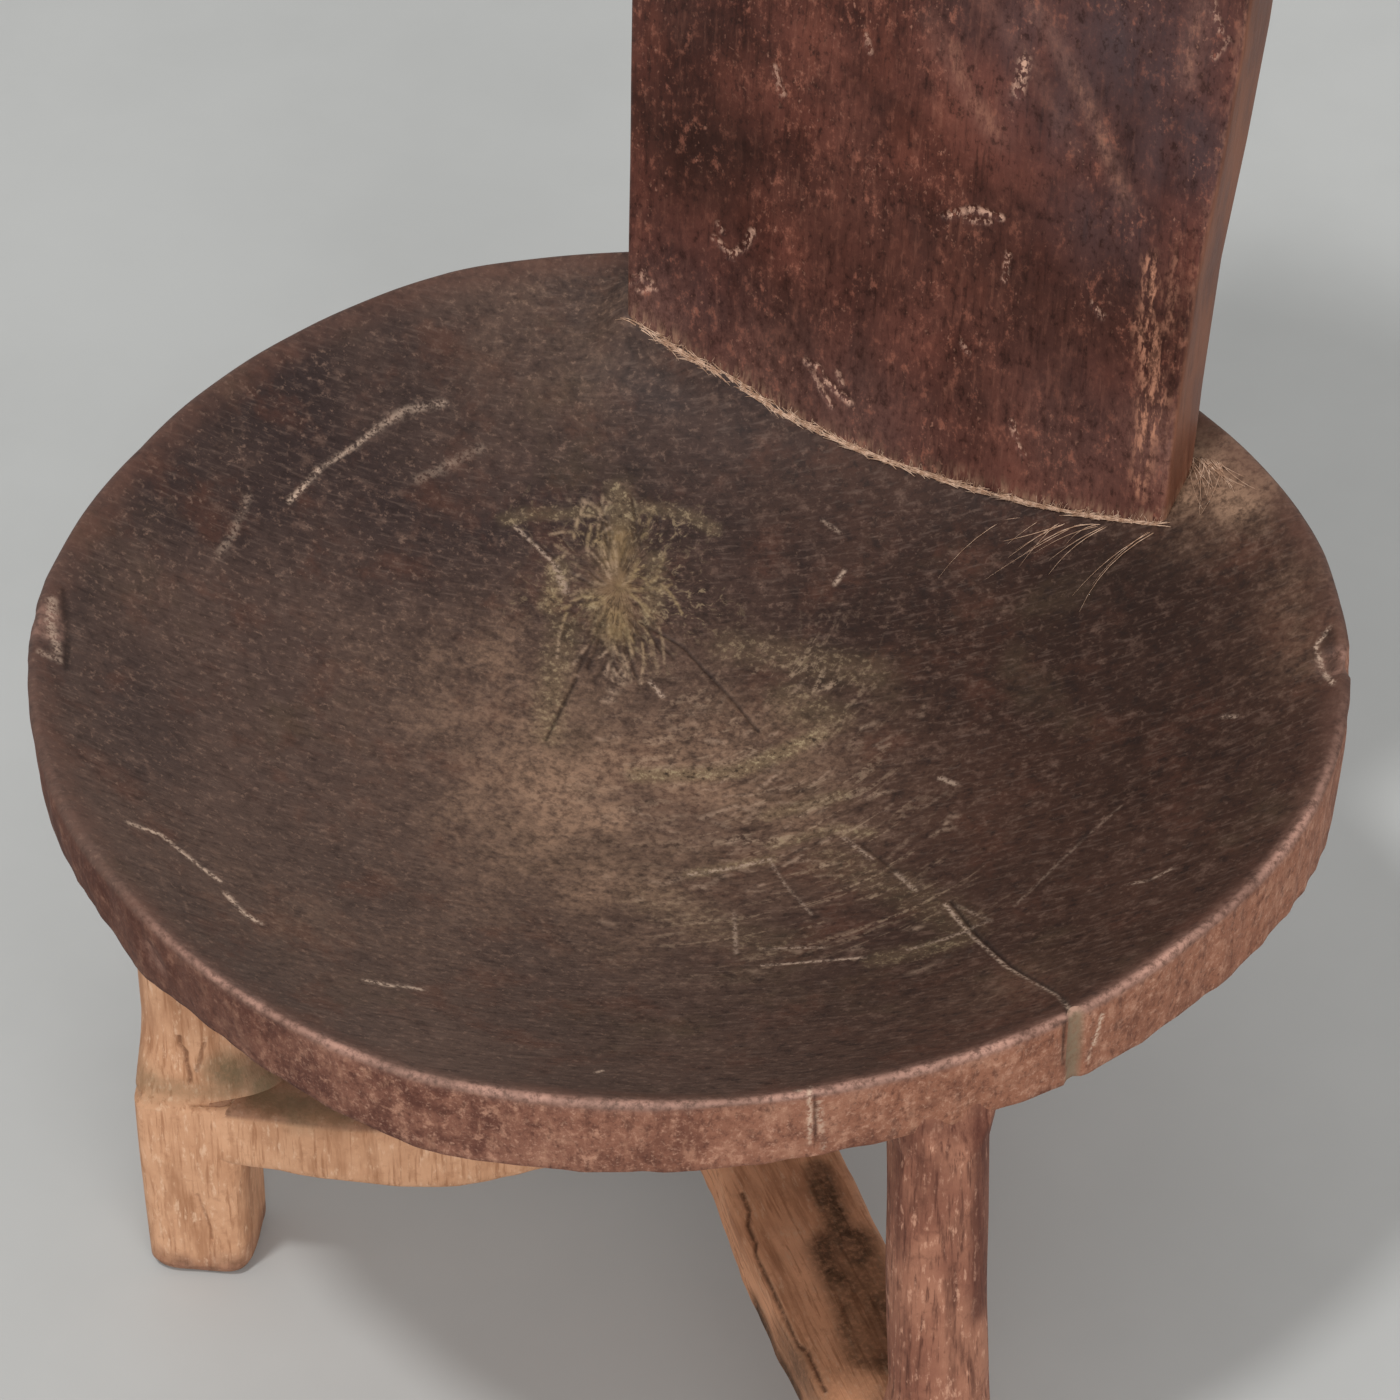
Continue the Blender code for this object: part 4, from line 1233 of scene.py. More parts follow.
# Paler areas, areas of painted greyish sheen and darker areas: pixel, radius, strength
BACK_PALE = (
    ((635, 325), 0.024, 0.75), ((760, 390), 0.030, 0.40), ((850, 425), 0.026, 0.40),
    ((1060, 460), 0.030, 0.25), ((1178, 455), 0.018, 0.70), ((740, 385), 0.018, 0.30),
)
BACK_SHEEN = (
    ((1120, 40), 0.040, 0.80), ((1195, 150), 0.030, 0.80), ((1060, 110), 0.026, 0.65),
    ((1110, 220), 0.024, 0.60), ((680, 305), 0.030, 0.40), ((860, 420), 0.034, 0.30),
    ((1090, 430), 0.030, 0.28), ((1030, 30), 0.030, 0.60),
)
BACK_DARK = (
    ((700, 150), 0.030, 1.00), ((655, 130), 0.022, 0.80), ((1140, 60), 0.034, 0.45),
    ((1030, 250), 0.034, 0.45), ((680, 20), 0.020, 0.50), ((1130, 310), 0.034, 0.75),
    ((830, 225), 0.026, 0.40), ((1060, 225), 0.026, 0.40), ((1120, 50), 0.036, 0.55),
    ((775, 290), 0.022, 0.35), ((745, 70), 0.022, 0.40), ((1190, 60), 0.026, 0.40), ((700, 225), 0.022, 0.40),
)
# How deep its front face reaches, how far its rubbed right edge and how high the dust at its foot
FRONT_DEPTH = (0.0015, 0.0005)
RUBBED_EDGE = (0.005, 0.001)
FOOT_DUST = (0.007, 0.0)
# The heights up the slab between which a painted greyish sheen comes in
BACK_SHEEN_HEIGHTS = (0.25, 0.45)
# How far the slab's right edge stands out of a straight line, as (height up the slab, millimetres)
BACK_RIGHT_EDGE = (
    (0.0, -1.0), (0.060, -2.6), (0.110, -2.6), (0.157, 0.0), (0.200, 1.6), (0.260, 1.6), (0.420, 0.0),
)
# Unevenness: height, bump size, seed
BACK_RELIEF = ((0.0008, (0.055, 0.055, 0.140), 11), (0.0003, (0.010, 0.010, 0.045), 12))


def back_outline(u, v, inset):
    """Where a point of the unit square, u from -1 to 1 and v from 0 to 1, lies on the slab: (x, z)."""
    length = BACK_LENGTH + BACK_SINK
    z = v * (length - inset)
    start = length - BACK_CROWN
    rise = np.clip((z - start) / (BACK_CROWN - inset), 0.0, 1.0)
    level = np.maximum(np.abs(u), rise)
    spread = (np.abs(u) ** BACK_CROWN_POWER + rise**BACK_CROWN_POWER) ** (1 / BACK_CROWN_POWER)
    pinch = np.where(rise > 0, level / np.maximum(spread, 1e-9), 1.0)
    z = np.where(rise > 0, start + rise * pinch * (BACK_CROWN - inset), z) - BACK_SINK
    return u * pinch * (back_half_width(z) - inset), z


def back_thickness(z):
    return BACK_BASE_THICKNESS + (BACK_TOP_THICKNESS - BACK_BASE_THICKNESS) * z / BACK_LENGTH


def back_points(x, y, z):
    """Points given in the slab's own axes."""
    return [*(BACK_FOOT + np.outer(x, (1, 0, 0)) + np.outer(y, BACK_THROUGH) + np.outer(z, BACK_UP))]


def back_edge_rows():
    """Rows round the slab's edge from its front face to the rear: inset, depth, share of the thickness."""
    turns = np.radians(np.arange(15, 91, 15))
    front = [(BACK_EDGE * (1 - math.sin(t)), BACK_EDGE * (1 - math.cos(t)), 0.0) for t in turns]
    shares = np.linspace(0, 1, BACK_SIDE_ROWS + 1)[1:-1]
    sides = [(0.0, BACK_EDGE * (1 - 2 * share), share) for share in shares]
    return front + sides + [(inset, -depth, 1.0) for inset, depth, _ in reversed(front)]


def tenon_end(side):
    """The end of a tenon as it shows on the seat's underside: points and faces of a short closed block."""
    points, count = [], TENON_SIDES
    turns = round_turns(count)
    rows = ((0.0, TENON_ROOT), (0.0, TENON_RECESS + TENON_EDGE_RISE), (TENON_EDGE, TENON_RECESS))
    for shrink, rise in rows:
        half_width, half_thickness = TENON_WIDTH / 2 - shrink, TENON_THICKNESS / 2 - shrink
        across, through = squircle(turns, half_width, half_thickness, TENON_SQUARENESS)
        points += [tenon_spot(side, x, y) + rise * BACK_UP for x, y in zip(across, through)]
    points += [tenon_spot(side) + rise * BACK_UP for rise in (TENON_ROOT, TENON_RECESS)]
    faces = ring_faces(3, count)
    for first, middle in ((0, 3 * count), (2 * count, 3 * count + 1)):
        faces += [(first + i, first + (i + 1) % count, middle) for i in range(count)]
    return points, faces


def back_mesh():
    """The slab with rounded edges, as two gridded faces and the rows that join their borders."""
    columns, rows = round(BACK_TOP_WIDTH / BACK_STEP), round(BACK_LENGTH / BACK_STEP)
    u, v = np.meshgrid(np.linspace(-1, 1, columns + 1), np.linspace(0, 1, rows + 1))
    number = np.arange(u.size).reshape(u.shape)
    border = np.concatenate([number[0, :-1], number[:-1, -1], number[-1, :0:-1], number[:0:-1, 0]])
    u, v = u.ravel(), v.ravel()
    x, z = back_outline(u, v, BACK_EDGE)
    points = back_points(x, np.zeros_like(x), z) + back_points(x, back_thickness(z), z)
    quads = [number[:-1, :-1], number[:-1, 1:], number[1:, 1:], number[1:, :-1]]
    front = np.stack([q.ravel() for q in quads], axis=1)
    faces = front.tolist() + (front[:, ::-1] + u.size).tolist()

    loops = [border]
    for inset, depth, share in back_edge_rows():
        x, z = back_outline(u[border], v[border], inset)
        loops.append(np.arange(len(points), len(points) + len(border)))
        points += back_points(x, depth + share * back_thickness(z), z)
    loops.append(border + u.size)
    for near, far in zip(loops[:-1], loops[1:]):
        faces += stitch(near, far)
    for side in (-1, 1):
        append_part(points, faces, *tenon_end(side))
    back = add_piece("back", points, [tuple(int(n) for n in face) for face in faces])
    face_outward(back)
    return back


def make_back(material):
    """The leaning slab: uneven faces, knocks, a rubbed edge and a painted greyish sheen on its upper part."""
    back = back_mesh()
    knocks, strips, smears = (lay(marks, back_spot) for marks in (BACK_KNOCKS, BACK_WORN, BACK_SMEARS))
    refine(back, lambda points: distance_to_strokes(points, knocks), KNOCK_LEVELS)
    points, normals = points_and_normals(back)
    local = points - BACK_FOOT
    x, through, up = local[:, 0], local @ BACK_THROUGH, local @ BACK_UP
    half = back_half_width(up)
    front = smoothstep(*FRONT_DEPTH, through)

    scratch = stroke_cover(points, knocks) * front
    lift = relief(points, BACK_RELIEF) - KNOCK_DEPTH * scratch
    heights, edges = np.array(BACK_RIGHT_EDGE).T
    shift = np.interp(up, heights, edges) / 1000 * smoothstep(0.2, 1.0, x / half)
    on_slab = np.where(up > -BACK_SINK - BACK_EDGE, 1.0, 0.0)
    set_points(back, points + on_slab[:, None] * (normals * lift[:, None] + np.outer(shift, (1, 0, 0))))

    areas = (BACK_PALE, BACK_SHEEN, BACK_DARK)
    pale, grey, dark = (np.max(area_covers(points, rows, back_spot), axis=0) for rows in areas)
    worn = np.maximum(stroke_cover(points, strips), 0.20 * smoothstep(*RUBBED_EDGE, half - x) * front)
    above_dish = points[:, 2] - dish_height(np.hypot(x, points[:, 1] - SEAT_Y)) - foot_rise(x, 0.0)
    dusty = smoothstep(*FOOT_DUST, above_dish + 0.003 * noise(points, 0.007, 16))
    paint(
        back,
        scratch=scratch,
        worn=worn * patchy(points, 0.85, 0.4, 0.018, 15),
        # Painted greyish sheen, more of it higher up the slab
        grey=np.maximum(grey, 0.5 * smoothstep(*BACK_SHEEN_HEIGHTS, up)),
        dark=dark,
        side=smoothstep(0.9, 0.5, np.abs(normals @ BACK_THROUGH)),
        dust=0.6 * dusty * (above_dish > -BACK_SINK),
        pale=np.maximum(pale, stroke_cover(points, smears) * front),
    )
    dress(back, material, "back_wood", "backrest")


# Fibres torn up along the back's foot

FIBRE_FRINGE = 420
FIBRE_FUZZ = 200
FIBRE_SEED = 19
# Long hairs: count, the pixels they start between, their way in shares of right and away, shortest, longest
FIBRE_HAIRS = (
    (18, (1020, 512), (1156, 534), (-0.95, -0.22), 0.012, 0.036),
    (8, (900, 484), (1040, 520), (-0.85, -0.45), 0.006, 0.014),
    (9, (640, 350), (760, 434), (-0.15, -0.95), 0.005, 0.012),
    (30, (1184, 456), (1222, 462), (0.30, -0.90), 0.008, 0.024),
)
# Places along a short fibre and along a hair
FIBRE_SHARES = np.linspace(0, 1, 4)
HAIR_SHARES = np.linspace(0, 1, 7)
# How far fibres lie above the wood, and how high a hair arches over it
FIBRE_LIFT = 0.0003
HAIR_ARCH = 0.0010
# How far in front of the back the standing fibres start, and how far they lean from it
FUZZ_FORWARD = 0.0004
FUZZ_LEAN = 0.0005
# How much thinner a fibre is at its end
FIBRE_TAPER = 0.75


def fibre(path, radius):
    """Points and faces of a thin closed fibre along a path, thin at its end."""
    path = np.array(path)
    corners = np.radians((90, 210, 330))
    points, faces = [], []
    for number, (place, run) in enumerate(zip(path, np.gradient(path, axis=0))):
        side = unit(np.cross(run, UP + 0.3 * RIGHT))
        over = np.cross(side, run) / np.linalg.norm(run)
        size = radius * (1 - FIBRE_TAPER * number / (len(path) - 1))
        points += [place + size * (math.cos(t) * side + math.sin(t) * over) for t in corners]
    for row in range(0, 3 * len(path) - 3, 3):
        faces += [(row + i, row + (i + 1) % 3, row + 3 + (i + 1) % 3, row + 3 + i) for i in range(3)]
    return points, faces + [(2, 1, 0), tuple(range(len(points) - 3, len(points)))]


def fringe_path(random):
    """A short fibre that lies along the foot of the back."""
    x = random.uniform(-0.49, 0.47) * BACK_BASE_WIDTH
    run = random.choice((-1, 1)) * random.uniform(0.003, 0.010)
    forward, spread = random.uniform(0.0002, 0.0012), random.uniform(-0.0008, 0.0014)
    lift = random.uniform(0.0002, 0.0012)
    return [
        base_point(x + run * t, forward + spread * t * t) + UP * (FIBRE_LIFT + lift * t) for t in FIBRE_SHARES
    ]


def fuzz_path(random):
    """A short fibre that stands up in front of the back's foot."""
    x = random.uniform(-0.49, 0.49) * BACK_BASE_WIDTH
    tall, bend = random.uniform(0.0010, 0.0042), random.uniform(-0.0014, 0.0014)
    start = base_point(x, FUZZ_FORWARD)
    return [start + BACK_UP * tall * t + RIGHT * bend * t * t - AWAY * FUZZ_LEAN * t for t in FIBRE_SHARES]


def hair_path(random, first, last, way, shortest, longest):
    """A long curved hair that lies on the seat."""
    start = seat_spot(np.array(first) + (np.array(last) - first) * random.uniform())
    heading = turned((way[0] * RIGHT + way[1] * AWAY)[:2], random.normal(0.0, 0.20))
    curl = random.normal(0.0, 0.22)
    length = random.uniform(shortest, longest)
    path = []
    for t in HAIR_SHARES:
        x, y = start[:2] + length * t * turned(heading, curl * t)
        path.append(dish_point(x, y - SEAT_Y) + UP * (FIBRE_LIFT + HAIR_ARCH * math.sin(math.pi * t)))
    return path


def make_fibres(material):
    """The pale fringe of torn fibres along the back's foot, and the hairs that lie on the seat."""
    random = np.random.default_rng(FIBRE_SEED)
    strands = [(fringe_path(random), random.uniform(0.00022, 0.00042)) for _ in range(FIBRE_FRINGE)]
    strands += [(fuzz_path(random), random.uniform(0.00014, 0.00026)) for _ in range(FIBRE_FUZZ)]
    for count, *rest in FIBRE_HAIRS:
        strands += [(hair_path(random, *rest), random.uniform(0.00014, 0.00024)) for _ in range(count)]
    points, faces = [], []
    for path, radius in strands:
        append_part(points, faces, *fibre(path, radius))
    dress(add_piece("fibres", points, faces), material, "raw_wood")


# Legs and bars

# Cracks of the legs and bars, in the photograph's pixels: path, half width, strength
TIMBER_CRACKS = {
    "leg_of_front_right": (
        (((178, 1036), (188, 1062), (192, 1084)), 0.0013, 0.75),
        (((206, 1044), (198, 1070)), 0.0012, 0.50),
        (((198, 1196), (208, 1218), (212, 1240)), 0.0009, 0.40),
    ),
    "bar_of_front_left": (
        (((742, 1192), (758, 1262), (786, 1318), (824, 1388)), 0.0014, 0.75),
        (((716, 1192), (735, 1250), (757, 1308)), 0.0010, 0.45),
    ),
}
# Darker strokes, the same way: on the front left leg painted shade, on its bar a painted cast shadow and
# shade, and round the front right knee partly dirt and partly painted shade
TIMBER_SHADE_AND_DIRT = {
    # Painted shade down the leg's edges and under the rim
    "leg_of_front_left": (
        (((980, 1120), (984, 1180), (982, 1250), (980, 1310)), 0.0085, 0.75),
        (((900, 1140), (930, 1128), (962, 1130)), 0.0080, 0.60),
        (((898, 1150), (898, 1215)), 0.0040, 0.55),
        (((940, 1170), (936, 1220)), 0.0060, 0.35),
    ),
    # A painted cast shadow along the bar's top, and painted shade low on its side
    "bar_of_front_left": (
        (((816, 1168), (830, 1206), (846, 1240)), 0.0092, 1.2),
        (((846, 1250), (862, 1290), (872, 1330), (878, 1350)), 0.0190, 1.5),
        (((752, 1318), (774, 1360), (792, 1398)), 0.0105, 1.0),
        (((830, 1376), (884, 1392)), 0.0150, 0.60),
        (((786, 1346), (806, 1382), (818, 1399)), 0.0160, 0.80),
    ),
    # Partly dirt, partly painted shade on the bar's top by the knee
    "bar_of_front_right": ((((264, 1098), (300, 1106), (342, 1114)), 0.0110, 0.90),),
    # Partly dirt, partly painted shade round the knee's ledge
    "leg_of_front_right": (
        (((140, 1078), (170, 1090), (205, 1094), (240, 1084)), 0.0075, 0.70),
        (((222, 1072), (244, 1078), (262, 1086)), 0.0120, 0.90),
    ),
}
# How much of the old brown surface is left on a piece's upper side, and strokes of it elsewhere
TIMBER_PATINA = {"bar_of_front_right": 0.80}
TIMBER_AGED = {"leg_of_front_right": ((((262, 1068), (282, 1080), (300, 1092)), 0.0130, 0.95),)}
CRACK_LEVELS = (0.004, 0.002)
CRACK_DEPTH = 0.0010
# Unevenness: height, bump size, seed. It is full from this height up
TIMBER_RELIEF = ((0.0007, (0.022, 0.022, 0.050), 21), (0.0003, (0.007, 0.007, 0.030), 22))
TIMBER_RELIEF_START = 0.004
# The dirt and painted shade on a knee's ledge: how far above the bars' top it lies, and its width
LEDGE_DIRT_AND_SHADE = (0.006, 0.009)
# The heights between which the old brown surface of a foot begins
FOOT_PATINA = (0.015, 0.002)
# Shares of a front bar's length, the first of which outside the hub is where it starts
BAR_STARTS = np.linspace(0.0, 0.6, 200)
# How far a bar stands out of its plain form, in millimetres: (share of its length, top, bottom, left, right)
BAR_FORMS = {
    "front_left": (
        (0.0, 0, 0, 0, 0), (0.3, 0, 0, -1.5, 1.5), (0.4, 0, 0, -2.0, 2.0), (0.5, 0, 0, -2.5, 4.2),
        (0.6, 0, 0, -3.0, 5.8), (0.8, 0, 0.5, -4.5, 5.8), (1.0, 0, 2.0, -4.5, 6.0),
    ),
    "front_right": (
        (0.0, 0, 0, 0, 0), (0.2, 0, 2.0, 1.5, 0), (0.4, 0, 5.5, 5.2, 0), (0.6, 0, 6.0, 6.2, 0),
        (0.7, 0, 5.0, 5.2, 0), (0.8, 0, 3.0, 4.0, 0), (0.9, 0, 1.0, 1.0, 0), (1.0, 0, 0, 0, 0),
    ),
    "rear": ((0.0, 0, 0, 0, 0), (0.5, 0, 1.0, 0.5, 0.5), (1.0, 0, 0, 0, 0)),
}


def leg_plan(spec):
    """Where a leg stands: its post's line, its knee, the way its bar comes in, and the bar's end and bend."""
    bearing = math.radians(spec["bearing"])
    outward = np.array([math.cos(bearing), math.sin(bearing)])
    rim_radius = SEAT_RADIUS - spec["inset"]
    slope = math.tan(math.radians(spec["splay"]))

    def post(height):
        return outward * (rim_radius + slope * (RIM_TOP - RIM_HEIGHT - height))

    heading = turned(unit(post(ARM_TOP) - HUB), math.radians(spec["toe"]))
    left = np.array([-heading[1], heading[0]])
    set_back = ARM_WIDTH / 2 - spec["radius"] - KNEE_BACK_MARGIN
    knee = post(ARM_TOP) + spec["side"] * set_back * left
    half_length = spec["radius"] + KNEE_MARGIN
    arm_end = knee - heading * (half_length - ARM_COPE)
    bend = arm_end - heading * np.linalg.norm(arm_end - HUB) * ARM_STRAIGHT
    return SimpleNamespace(
        post=post, heading=heading, left=left, knee=knee, half_length=half_length, arm_end=arm_end, bend=bend,
    )


def leg_rows(spec, plan, top):
    """(height, half length, half width, squareness, share of the post's line in the centre) up a leg."""
    radius, foot = spec["radius"], FOOT_WIDTH / 2
    long, wide = plan.half_length, ARM_WIDTH / 2
    rows = [
        (0.0, foot - FOOT_EDGE, foot - FOOT_EDGE, 4.0, 0.0),
        (0.3 * FOOT_EDGE, foot - 0.3 * FOOT_EDGE, foot - 0.3 * FOOT_EDGE, 4.5, 0.0),
        (FOOT_EDGE, foot, foot, 5.0, 0.0),
        (ARM_TOP - ARM_THICKNESS, long, wide, 6.0, 0.0),
        (ARM_TOP - KNEE_EDGE, long, wide, 7.0, 0.0),
        (ARM_TOP, long - KNEE_EDGE, wide - KNEE_EDGE, 7.0, 0.0),
        (ARM_TOP + KNEE_LEDGE_RISE, long - KNEE_EDGE, wide - KNEE_EDGE, 7.0, 0.0),
    ]
    for t in np.linspace(0.0, 1.0, 9):
        block = (1 - t) ** 2.2
        half_long = radius + KNEE_SWELL * (1 - t) ** 0.8
        half_wide = radius + max(wide - KNEE_EDGE - KNEE_LEDGE - radius, 0.0) * block
        height = ARM_TOP + KNEE_LEDGE + KNEE_FLARE * t
        rows.append((height, half_long, half_wide, POST_SQUARENESS + 3.5 * block, 1 - block))
    joint = RIM_TOP - RIM_HEIGHT
    rows.append((joint - JOINT_FLARE, radius, radius, POST_SQUARENESS, 1.0))
    if top > joint:
        rows.append((joint, radius, radius + 0.25 * JOINT_FLARE, POST_SQUARENESS, 1.0))
        rows.append((top, radius - 0.1 * JOINT_FLARE, radius, POST_SQUARENESS, 1.0))
    return np.array(rows)


def under_rim(ring, height):
    """A ring's points at the given heights, drawn in where they would come through the wall or the dish."""
    bearing = np.arctan2(ring[:, 1], ring[:, 0])
    radius = np.hypot(ring[:, 0], ring[:, 1])
    foot_of_wall = RIM_TOP - RIM_HEIGHT - wander(bearing, WALL_WANDER)
    limit = SEAT_RADIUS + wander(bearing, RIM_WANDER) - WALL_COVER
    limit = limit + JOINT_SLOPE * np.clip(foot_of_wall - height, 0.0, None)
    share = np.minimum(1.0, limit / radius)
    return [
        (x * s, SEAT_Y + y * s, min(z, dish_height(math.hypot(x, y) * s) - LEG_COVER))
        for (x, y), s, z in zip(ring, share, height)
    ]


def make_leg(name, spec, plan, material, slot):
    """A leg: foot, knee block and post in one. A post at the seat's edge runs up into the rim's wall."""
    joint = RIM_TOP - RIM_HEIGHT
    at_edge = spec["inset"] < 2 * spec["radius"]
    top = RIM_TOP - LEG_COVER if at_edge else underside_height(np.linalg.norm(plan.post(joint))) + LEG_ROOT
    rows = leg_rows(spec, plan, top)
    heights = np.unique(np.concatenate([np.arange(0.0, top, LEG_STEP), rows[rows[:, 0] < top, 0], [top]]))
    values = [np.interp(heights, rows[:, 0], rows[:, column]) for column in range(1, 5)]
    turns = round_turns(LEG_SIDES)
    points = []
    for height, long, wide, power, share in zip(heights, *values):
        centre = plan.knee + (plan.post(height) - plan.knee) * share
        along, across = squircle(turns, long, wide, power)
        fillet = max(0.0, 1 - (height - ARM_TOP) / KNEE_FLARE) ** 2.5 if height > ARM_TOP else 0.0
        rounded = squircle(turns, long, wide, 2.0)
        along, across = (np.where((along < 0) & (fillet > 0), r, a) for r, a in zip(rounded, (along, across)))
        inward = np.clip(-along / long, 0.0, 1.0) * fillet
        along = along * (1 + spec["fillet"] * inward)
        ring = centre + np.outer(along, plan.heading) + np.outer(across, plan.left)
        points += under_rim(ring, height - KNEE_SINK * inward)
    leg = add_piece("leg_of_" + name, points, tube_faces(points, LEG_SIDES))
    finish_timber(leg, material, slot, "leg_" + name)


def bar_place(plan, t):
    """Middle of a bar and its level direction, from the hub at 0 to the knee at 1."""
    place = (1 - t) ** 2 * HUB + 2 * t * (1 - t) * plan.bend + t * t * plan.arm_end
    return place, unit((1 - t) * (plan.bend - HUB) + t * (plan.arm_end - plan.bend))


def bar_mesh(name, plan, first):
    """A bar from a share of its length to the knee, swelling and narrowing as its form says."""
    form = np.array(BAR_FORMS[name])
    half_width, half_thickness = ARM_WIDTH / 2, ARM_THICKNESS / 2
    length = np.linalg.norm(plan.arm_end - HUB)
    across, high = squircle(round_turns(BAR_SIDES), half_width, half_thickness, BAR_SQUARENESS)
    points = []
    for t in np.linspace(first, 1 + BAR_OVERLAP / length, round(length * (1 - first) / BAR_STEP)):
        place, heading = bar_place(plan, t)
        bulges = (np.interp(t, form[:, 0], form[:, column]) / 1000 for column in range(1, 5))
        top, bottom, left, right = bulges
        wide = across + np.where(across > 0, left, -right) * np.abs(across) / half_width
        tall = high + np.where(high > 0, top, -bottom) * np.abs(high) / half_thickness
        ring = place + np.outer(wide, (-heading[1], heading[0]))
        points += [(x, SEAT_Y + y, ARM_TOP - half_thickness + z) for (x, y), z in zip(ring, tall)]
    return points, tube_faces(points, BAR_SIDES)


def hub_mesh():
    """The round hub where the bars meet."""
    half, middle = HUB_THICKNESS / 2, ARM_TOP - ARM_THICKNESS / 2
    narrow = HUB_RADIUS - HUB_EDGE
    rows = ((narrow, -half), (HUB_RADIUS, HUB_EDGE - half), (HUB_RADIUS, half - HUB_EDGE), (narrow, half))
    turns = round_turns(BAR_SIDES)
    points = [(r * math.cos(t), SEAT_Y + HUB_Y + r * math.sin(t), middle + z) for r, z in rows for t in turns]
    return points, tube_faces(points, BAR_SIDES)


def join_by_voxels(piece):
    """Turns closed shapes that overlap in one mesh into one skin, and smooths it a little."""
    change = piece.modifiers.new("join", "REMESH")
    change.mode = "VOXEL"
    change.voxel_size = HUB_VOXEL
    ease = piece.modifiers.new("ease", "SMOOTH")
    ease.iterations = 3
    shape = piece.evaluated_get(bpy.context.evaluated_depsgraph_get())
    mesh = bpy.data.meshes.new_from_object(shape)
    piece.modifiers.clear()
    piece.data = mesh


def make_bar(name, plan, material, slot):
    """A bar of the stretcher. The rear one carries the hub, and the front ones are let into it."""
    if name == "rear":
        points, faces = bar_mesh(name, plan, 0.0)
        append_part(points, faces, *hub_mesh())
        bar = add_piece("bar_of_" + name, points, faces)
        face_outward(bar)
        join_by_voxels(bar)
    else:
        reached = [np.linalg.norm(bar_place(plan, t)[0] - HUB) > HUB_RADIUS - BAR_OVERLAP for t in BAR_STARTS]
        bar = add_piece("bar_of_" + name, *bar_mesh(name, plan, BAR_STARTS[reached.index(True)]))
    finish_timber(bar, material, slot, "stretcher_" + name)


def finish_timber(piece, material, slot, node):
    """Blade-cut unevenness, cracks, and dirt with painted shade for a leg or a bar, then its material."""
    face_outward(piece)
    points, normals = points_and_normals(piece)

    def laid(marks):
        return lay(marks.get(piece.name, ()), lambda pixel: spot_on(points, normals, pixel))

    cracks, stains = laid(TIMBER_CRACKS), laid(TIMBER_SHADE_AND_DIRT)
    if cracks:
        refine(piece, lambda places: distance_to_strokes(places, cracks), CRACK_LEVELS)
        points, normals = points_and_normals(piece)
    height, facing_up = points[:, 2], normals[:, 2]
    check = stroke_cover(points, cracks)
    off_floor = 0.15 + 0.85 * smoothstep(0.0, TIMBER_RELIEF_START, height)
    lift = (relief(points, TIMBER_RELIEF) - CRACK_DEPTH * check) * off_floor
    moved = points + normals * lift[:, None]
    moved[:, 2] = np.maximum(moved[:, 2], 0.0)
    set_points(piece, moved)

    # Dirt on upward faces, and dirt with painted shade on the knee's ledge
    ledge = bell(height - ARM_TOP - LEDGE_DIRT_AND_SHADE[0], LEDGE_DIRT_AND_SHADE[1]) * smoothstep(0.05, 0.35, facing_up)
    top_face = smoothstep(0.55, 0.9, facing_up)
    dirt = np.maximum(0.7 * ledge, 0.15 * top_face) * patchy(points, 0.65, 0.35, 0.010, 23)
    low = 0.75 * smoothstep(*FOOT_PATINA, height + 0.005 * noise(points, 0.006, 24))
    aged = TIMBER_PATINA.get(piece.name, 0.0) * smoothstep(0.3, 0.7, facing_up)
    aged = np.maximum(aged, stroke_cover(points, laid(TIMBER_AGED))) * patchy(points, 0.9, 0.3, 0.012, 25)
    # The darker strokes add painted shade and shadow, and some dirt
    dirt = np.maximum(dirt, stroke_cover(points, stains))
    paint(piece, patina=np.maximum(aged, low), dirt=dirt, check=check)
    dress(piece, material, slot, node)


# Stage

WORLD_LIGHT = 0.58
# Lamps: name, place, diameter, watts
LAMPS = (
    ("key", -1.50 * RIGHT - 1.98 * AWAY + 6.0 * UP, 0.64, 147.0),
    ("fill", 0.7 * RIGHT - 2.9 * AWAY + 1.5 * UP, 2.4, 42.0),
)
LAMP_TARGET = Vector((0.0, 0.0, 0.2))
FLOOR_REACH = 6.0


def make_floor():
    corners = [(x * FLOOR_REACH, y * FLOOR_REACH, 0) for x, y in ((-1, -1), (1, -1), (1, 1), (-1, 1))]
    floor = add_piece("floor", corners, [(0, 1, 2, 3)])
    floor.data.materials.append(floor_material())


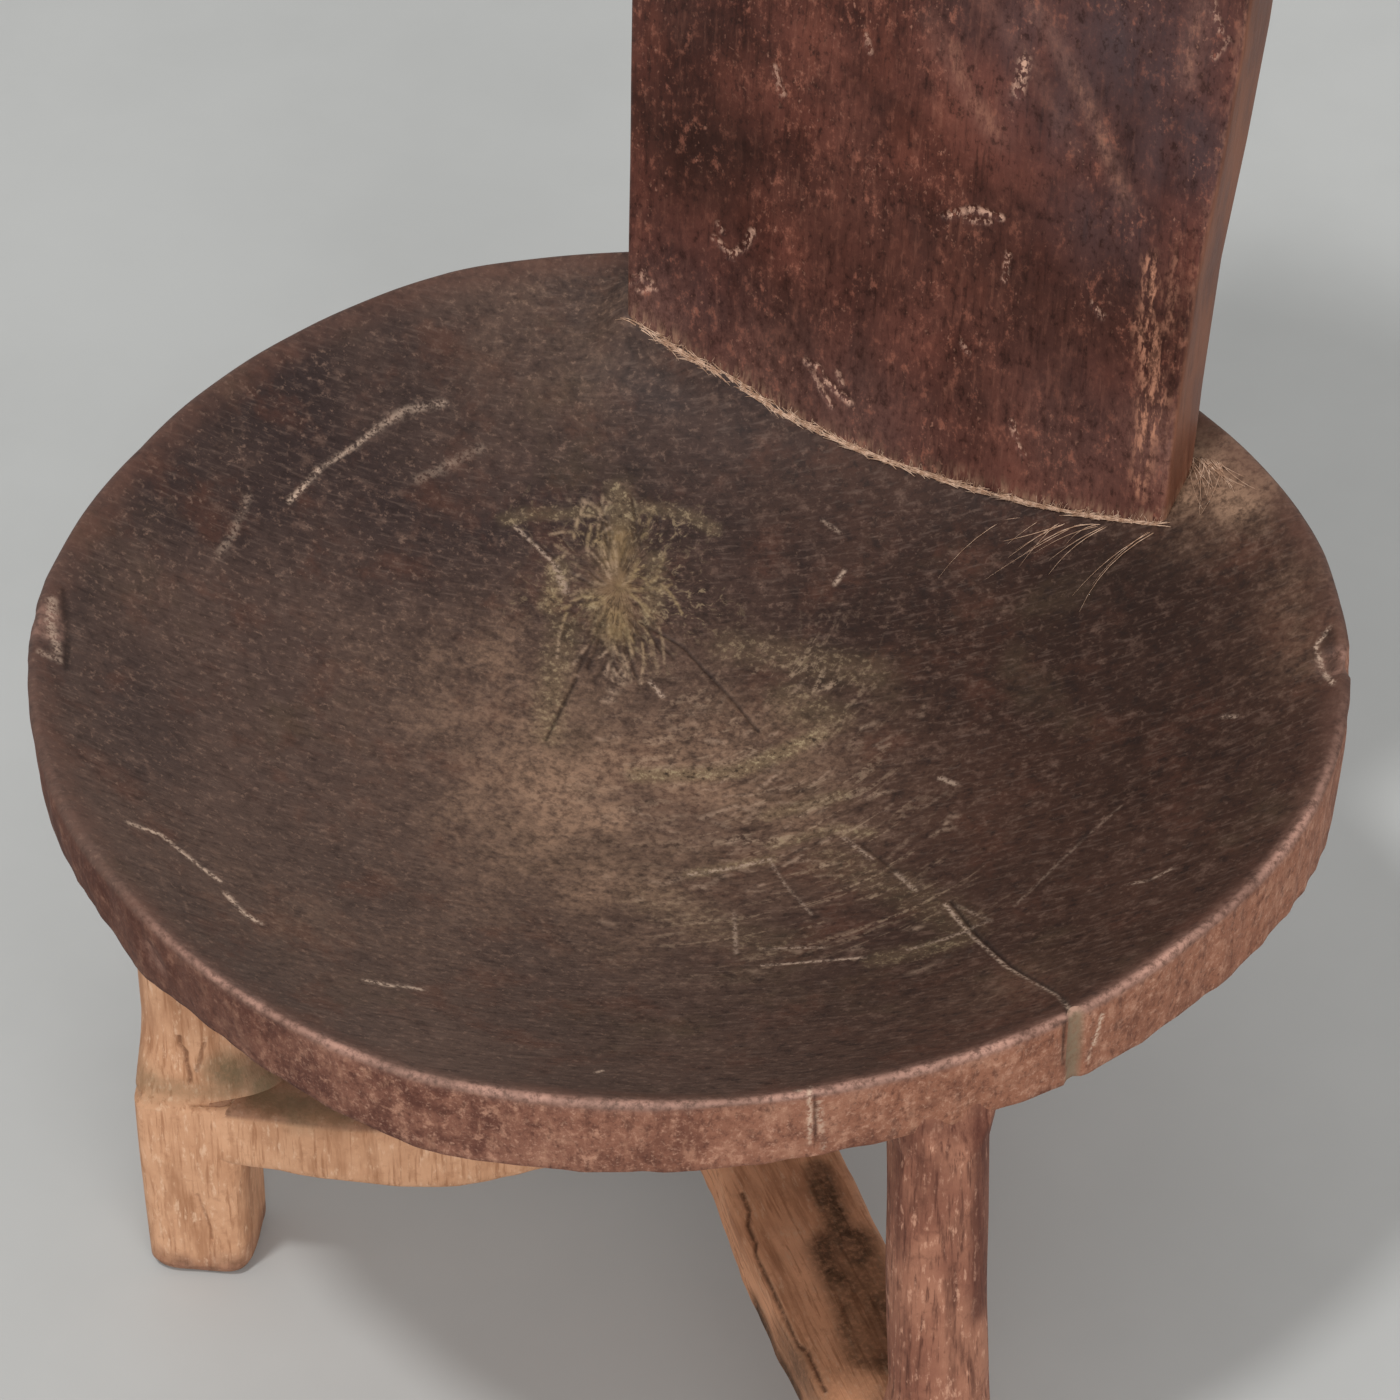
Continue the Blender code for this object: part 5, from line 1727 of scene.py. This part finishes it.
def make_lights():
    """Even studio light from all round, a lamp high on the left in front and a wide one behind the camera."""
    world = bpy.data.worlds.new("studio")
    world.use_nodes = True
    background = world.node_tree.nodes["Background"]
    background.inputs["Color"].default_value = (1.0, 1.0, 1.0, 1.0)
    background.inputs["Strength"].default_value = WORLD_LIGHT
    bpy.context.scene.world = world
    for name, place, size, power in LAMPS:
        lamp = bpy.data.lights.new(name, "AREA")
        lamp.shape = "DISK"
        lamp.size = size
        lamp.energy = power
        light = bpy.data.objects.new(name, lamp)
        light.location = place
        light.rotation_euler = (LAMP_TARGET - Vector(place)).to_track_quat("-Z", "Y").to_euler()
        bpy.context.scene.collection.objects.link(light)


def make_camera():
    data = bpy.data.cameras.new("camera")
    data.sensor_width = SENSOR_WIDTH
    data.lens = SENSOR_WIDTH * FOCAL_PIXELS / IMAGE_SIZE
    camera = bpy.data.objects.new("camera", data)
    camera.location = EYE
    camera.rotation_euler = Vector(FORWARD).to_track_quat("-Z", "Y").to_euler()
    bpy.context.scene.collection.objects.link(camera)
    bpy.context.scene.camera = camera
    bpy.context.scene.view_settings.view_transform = "Standard"


# Shades of the woods. The shade that dirt is drawn in also paints shade, and on the front left bar a cast
# shadow
BROWN = {
    "dark": (80, 45, 35), "middle": (136, 87, 69), "light": (164, 113, 90), "fleck": (206, 156, 130),
    "dirt": (82, 42, 33), "crack": (48, 29, 20),
}
ORANGE = {
    "dark": (166, 113, 81), "middle": (214, 155, 117), "light": (226, 167, 129), "fleck": (220, 174, 140),
    "dirt": (50, 32, 14), "crack": (60, 37, 24),
}
RAW = {
    "dark": (168, 118, 85), "middle": (200, 149, 114), "light": (220, 170, 134), "fleck": (232, 192, 160),
    "dirt": (122, 104, 78), "crack": (104, 66, 44),
}
# The shades of each leg and of its bar, and their slot
WOODS = {
    "front_left": (BROWN, ORANGE, "brown_wood"),
    "front_right": (RAW, RAW, "raw_wood"),
    "rear": (BROWN, BROWN, "brown_wood"),
}

make_seat(seat_material())
make_back(back_material())
make_fibres(plain_wood_material("fibre_wood", (176, 138, 112), (226, 192, 166)))
for leg, spec in LEGS.items():
    leg_shades, bar_shades, slot = WOODS[leg]
    plan = leg_plan(spec)
    along_bar = UP if leg == "front_right" else np.array([*unit(plan.arm_end - HUB), 0.0])
    make_leg(leg, spec, plan, leg_material("leg_wood_" + leg, UP, leg_shades), slot)
    make_bar(leg, plan, leg_material("bar_wood_" + leg, along_bar, bar_shades), slot)
wedge_wood = plain_wood_material("wedge_wood", (128, 92, 62), (176, 136, 98))
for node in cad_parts:
    if "wedge" in node:
        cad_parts[node].data.materials.clear()
        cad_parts[node].data.materials.append(wedge_wood)
make_floor()
make_lights()
make_camera()
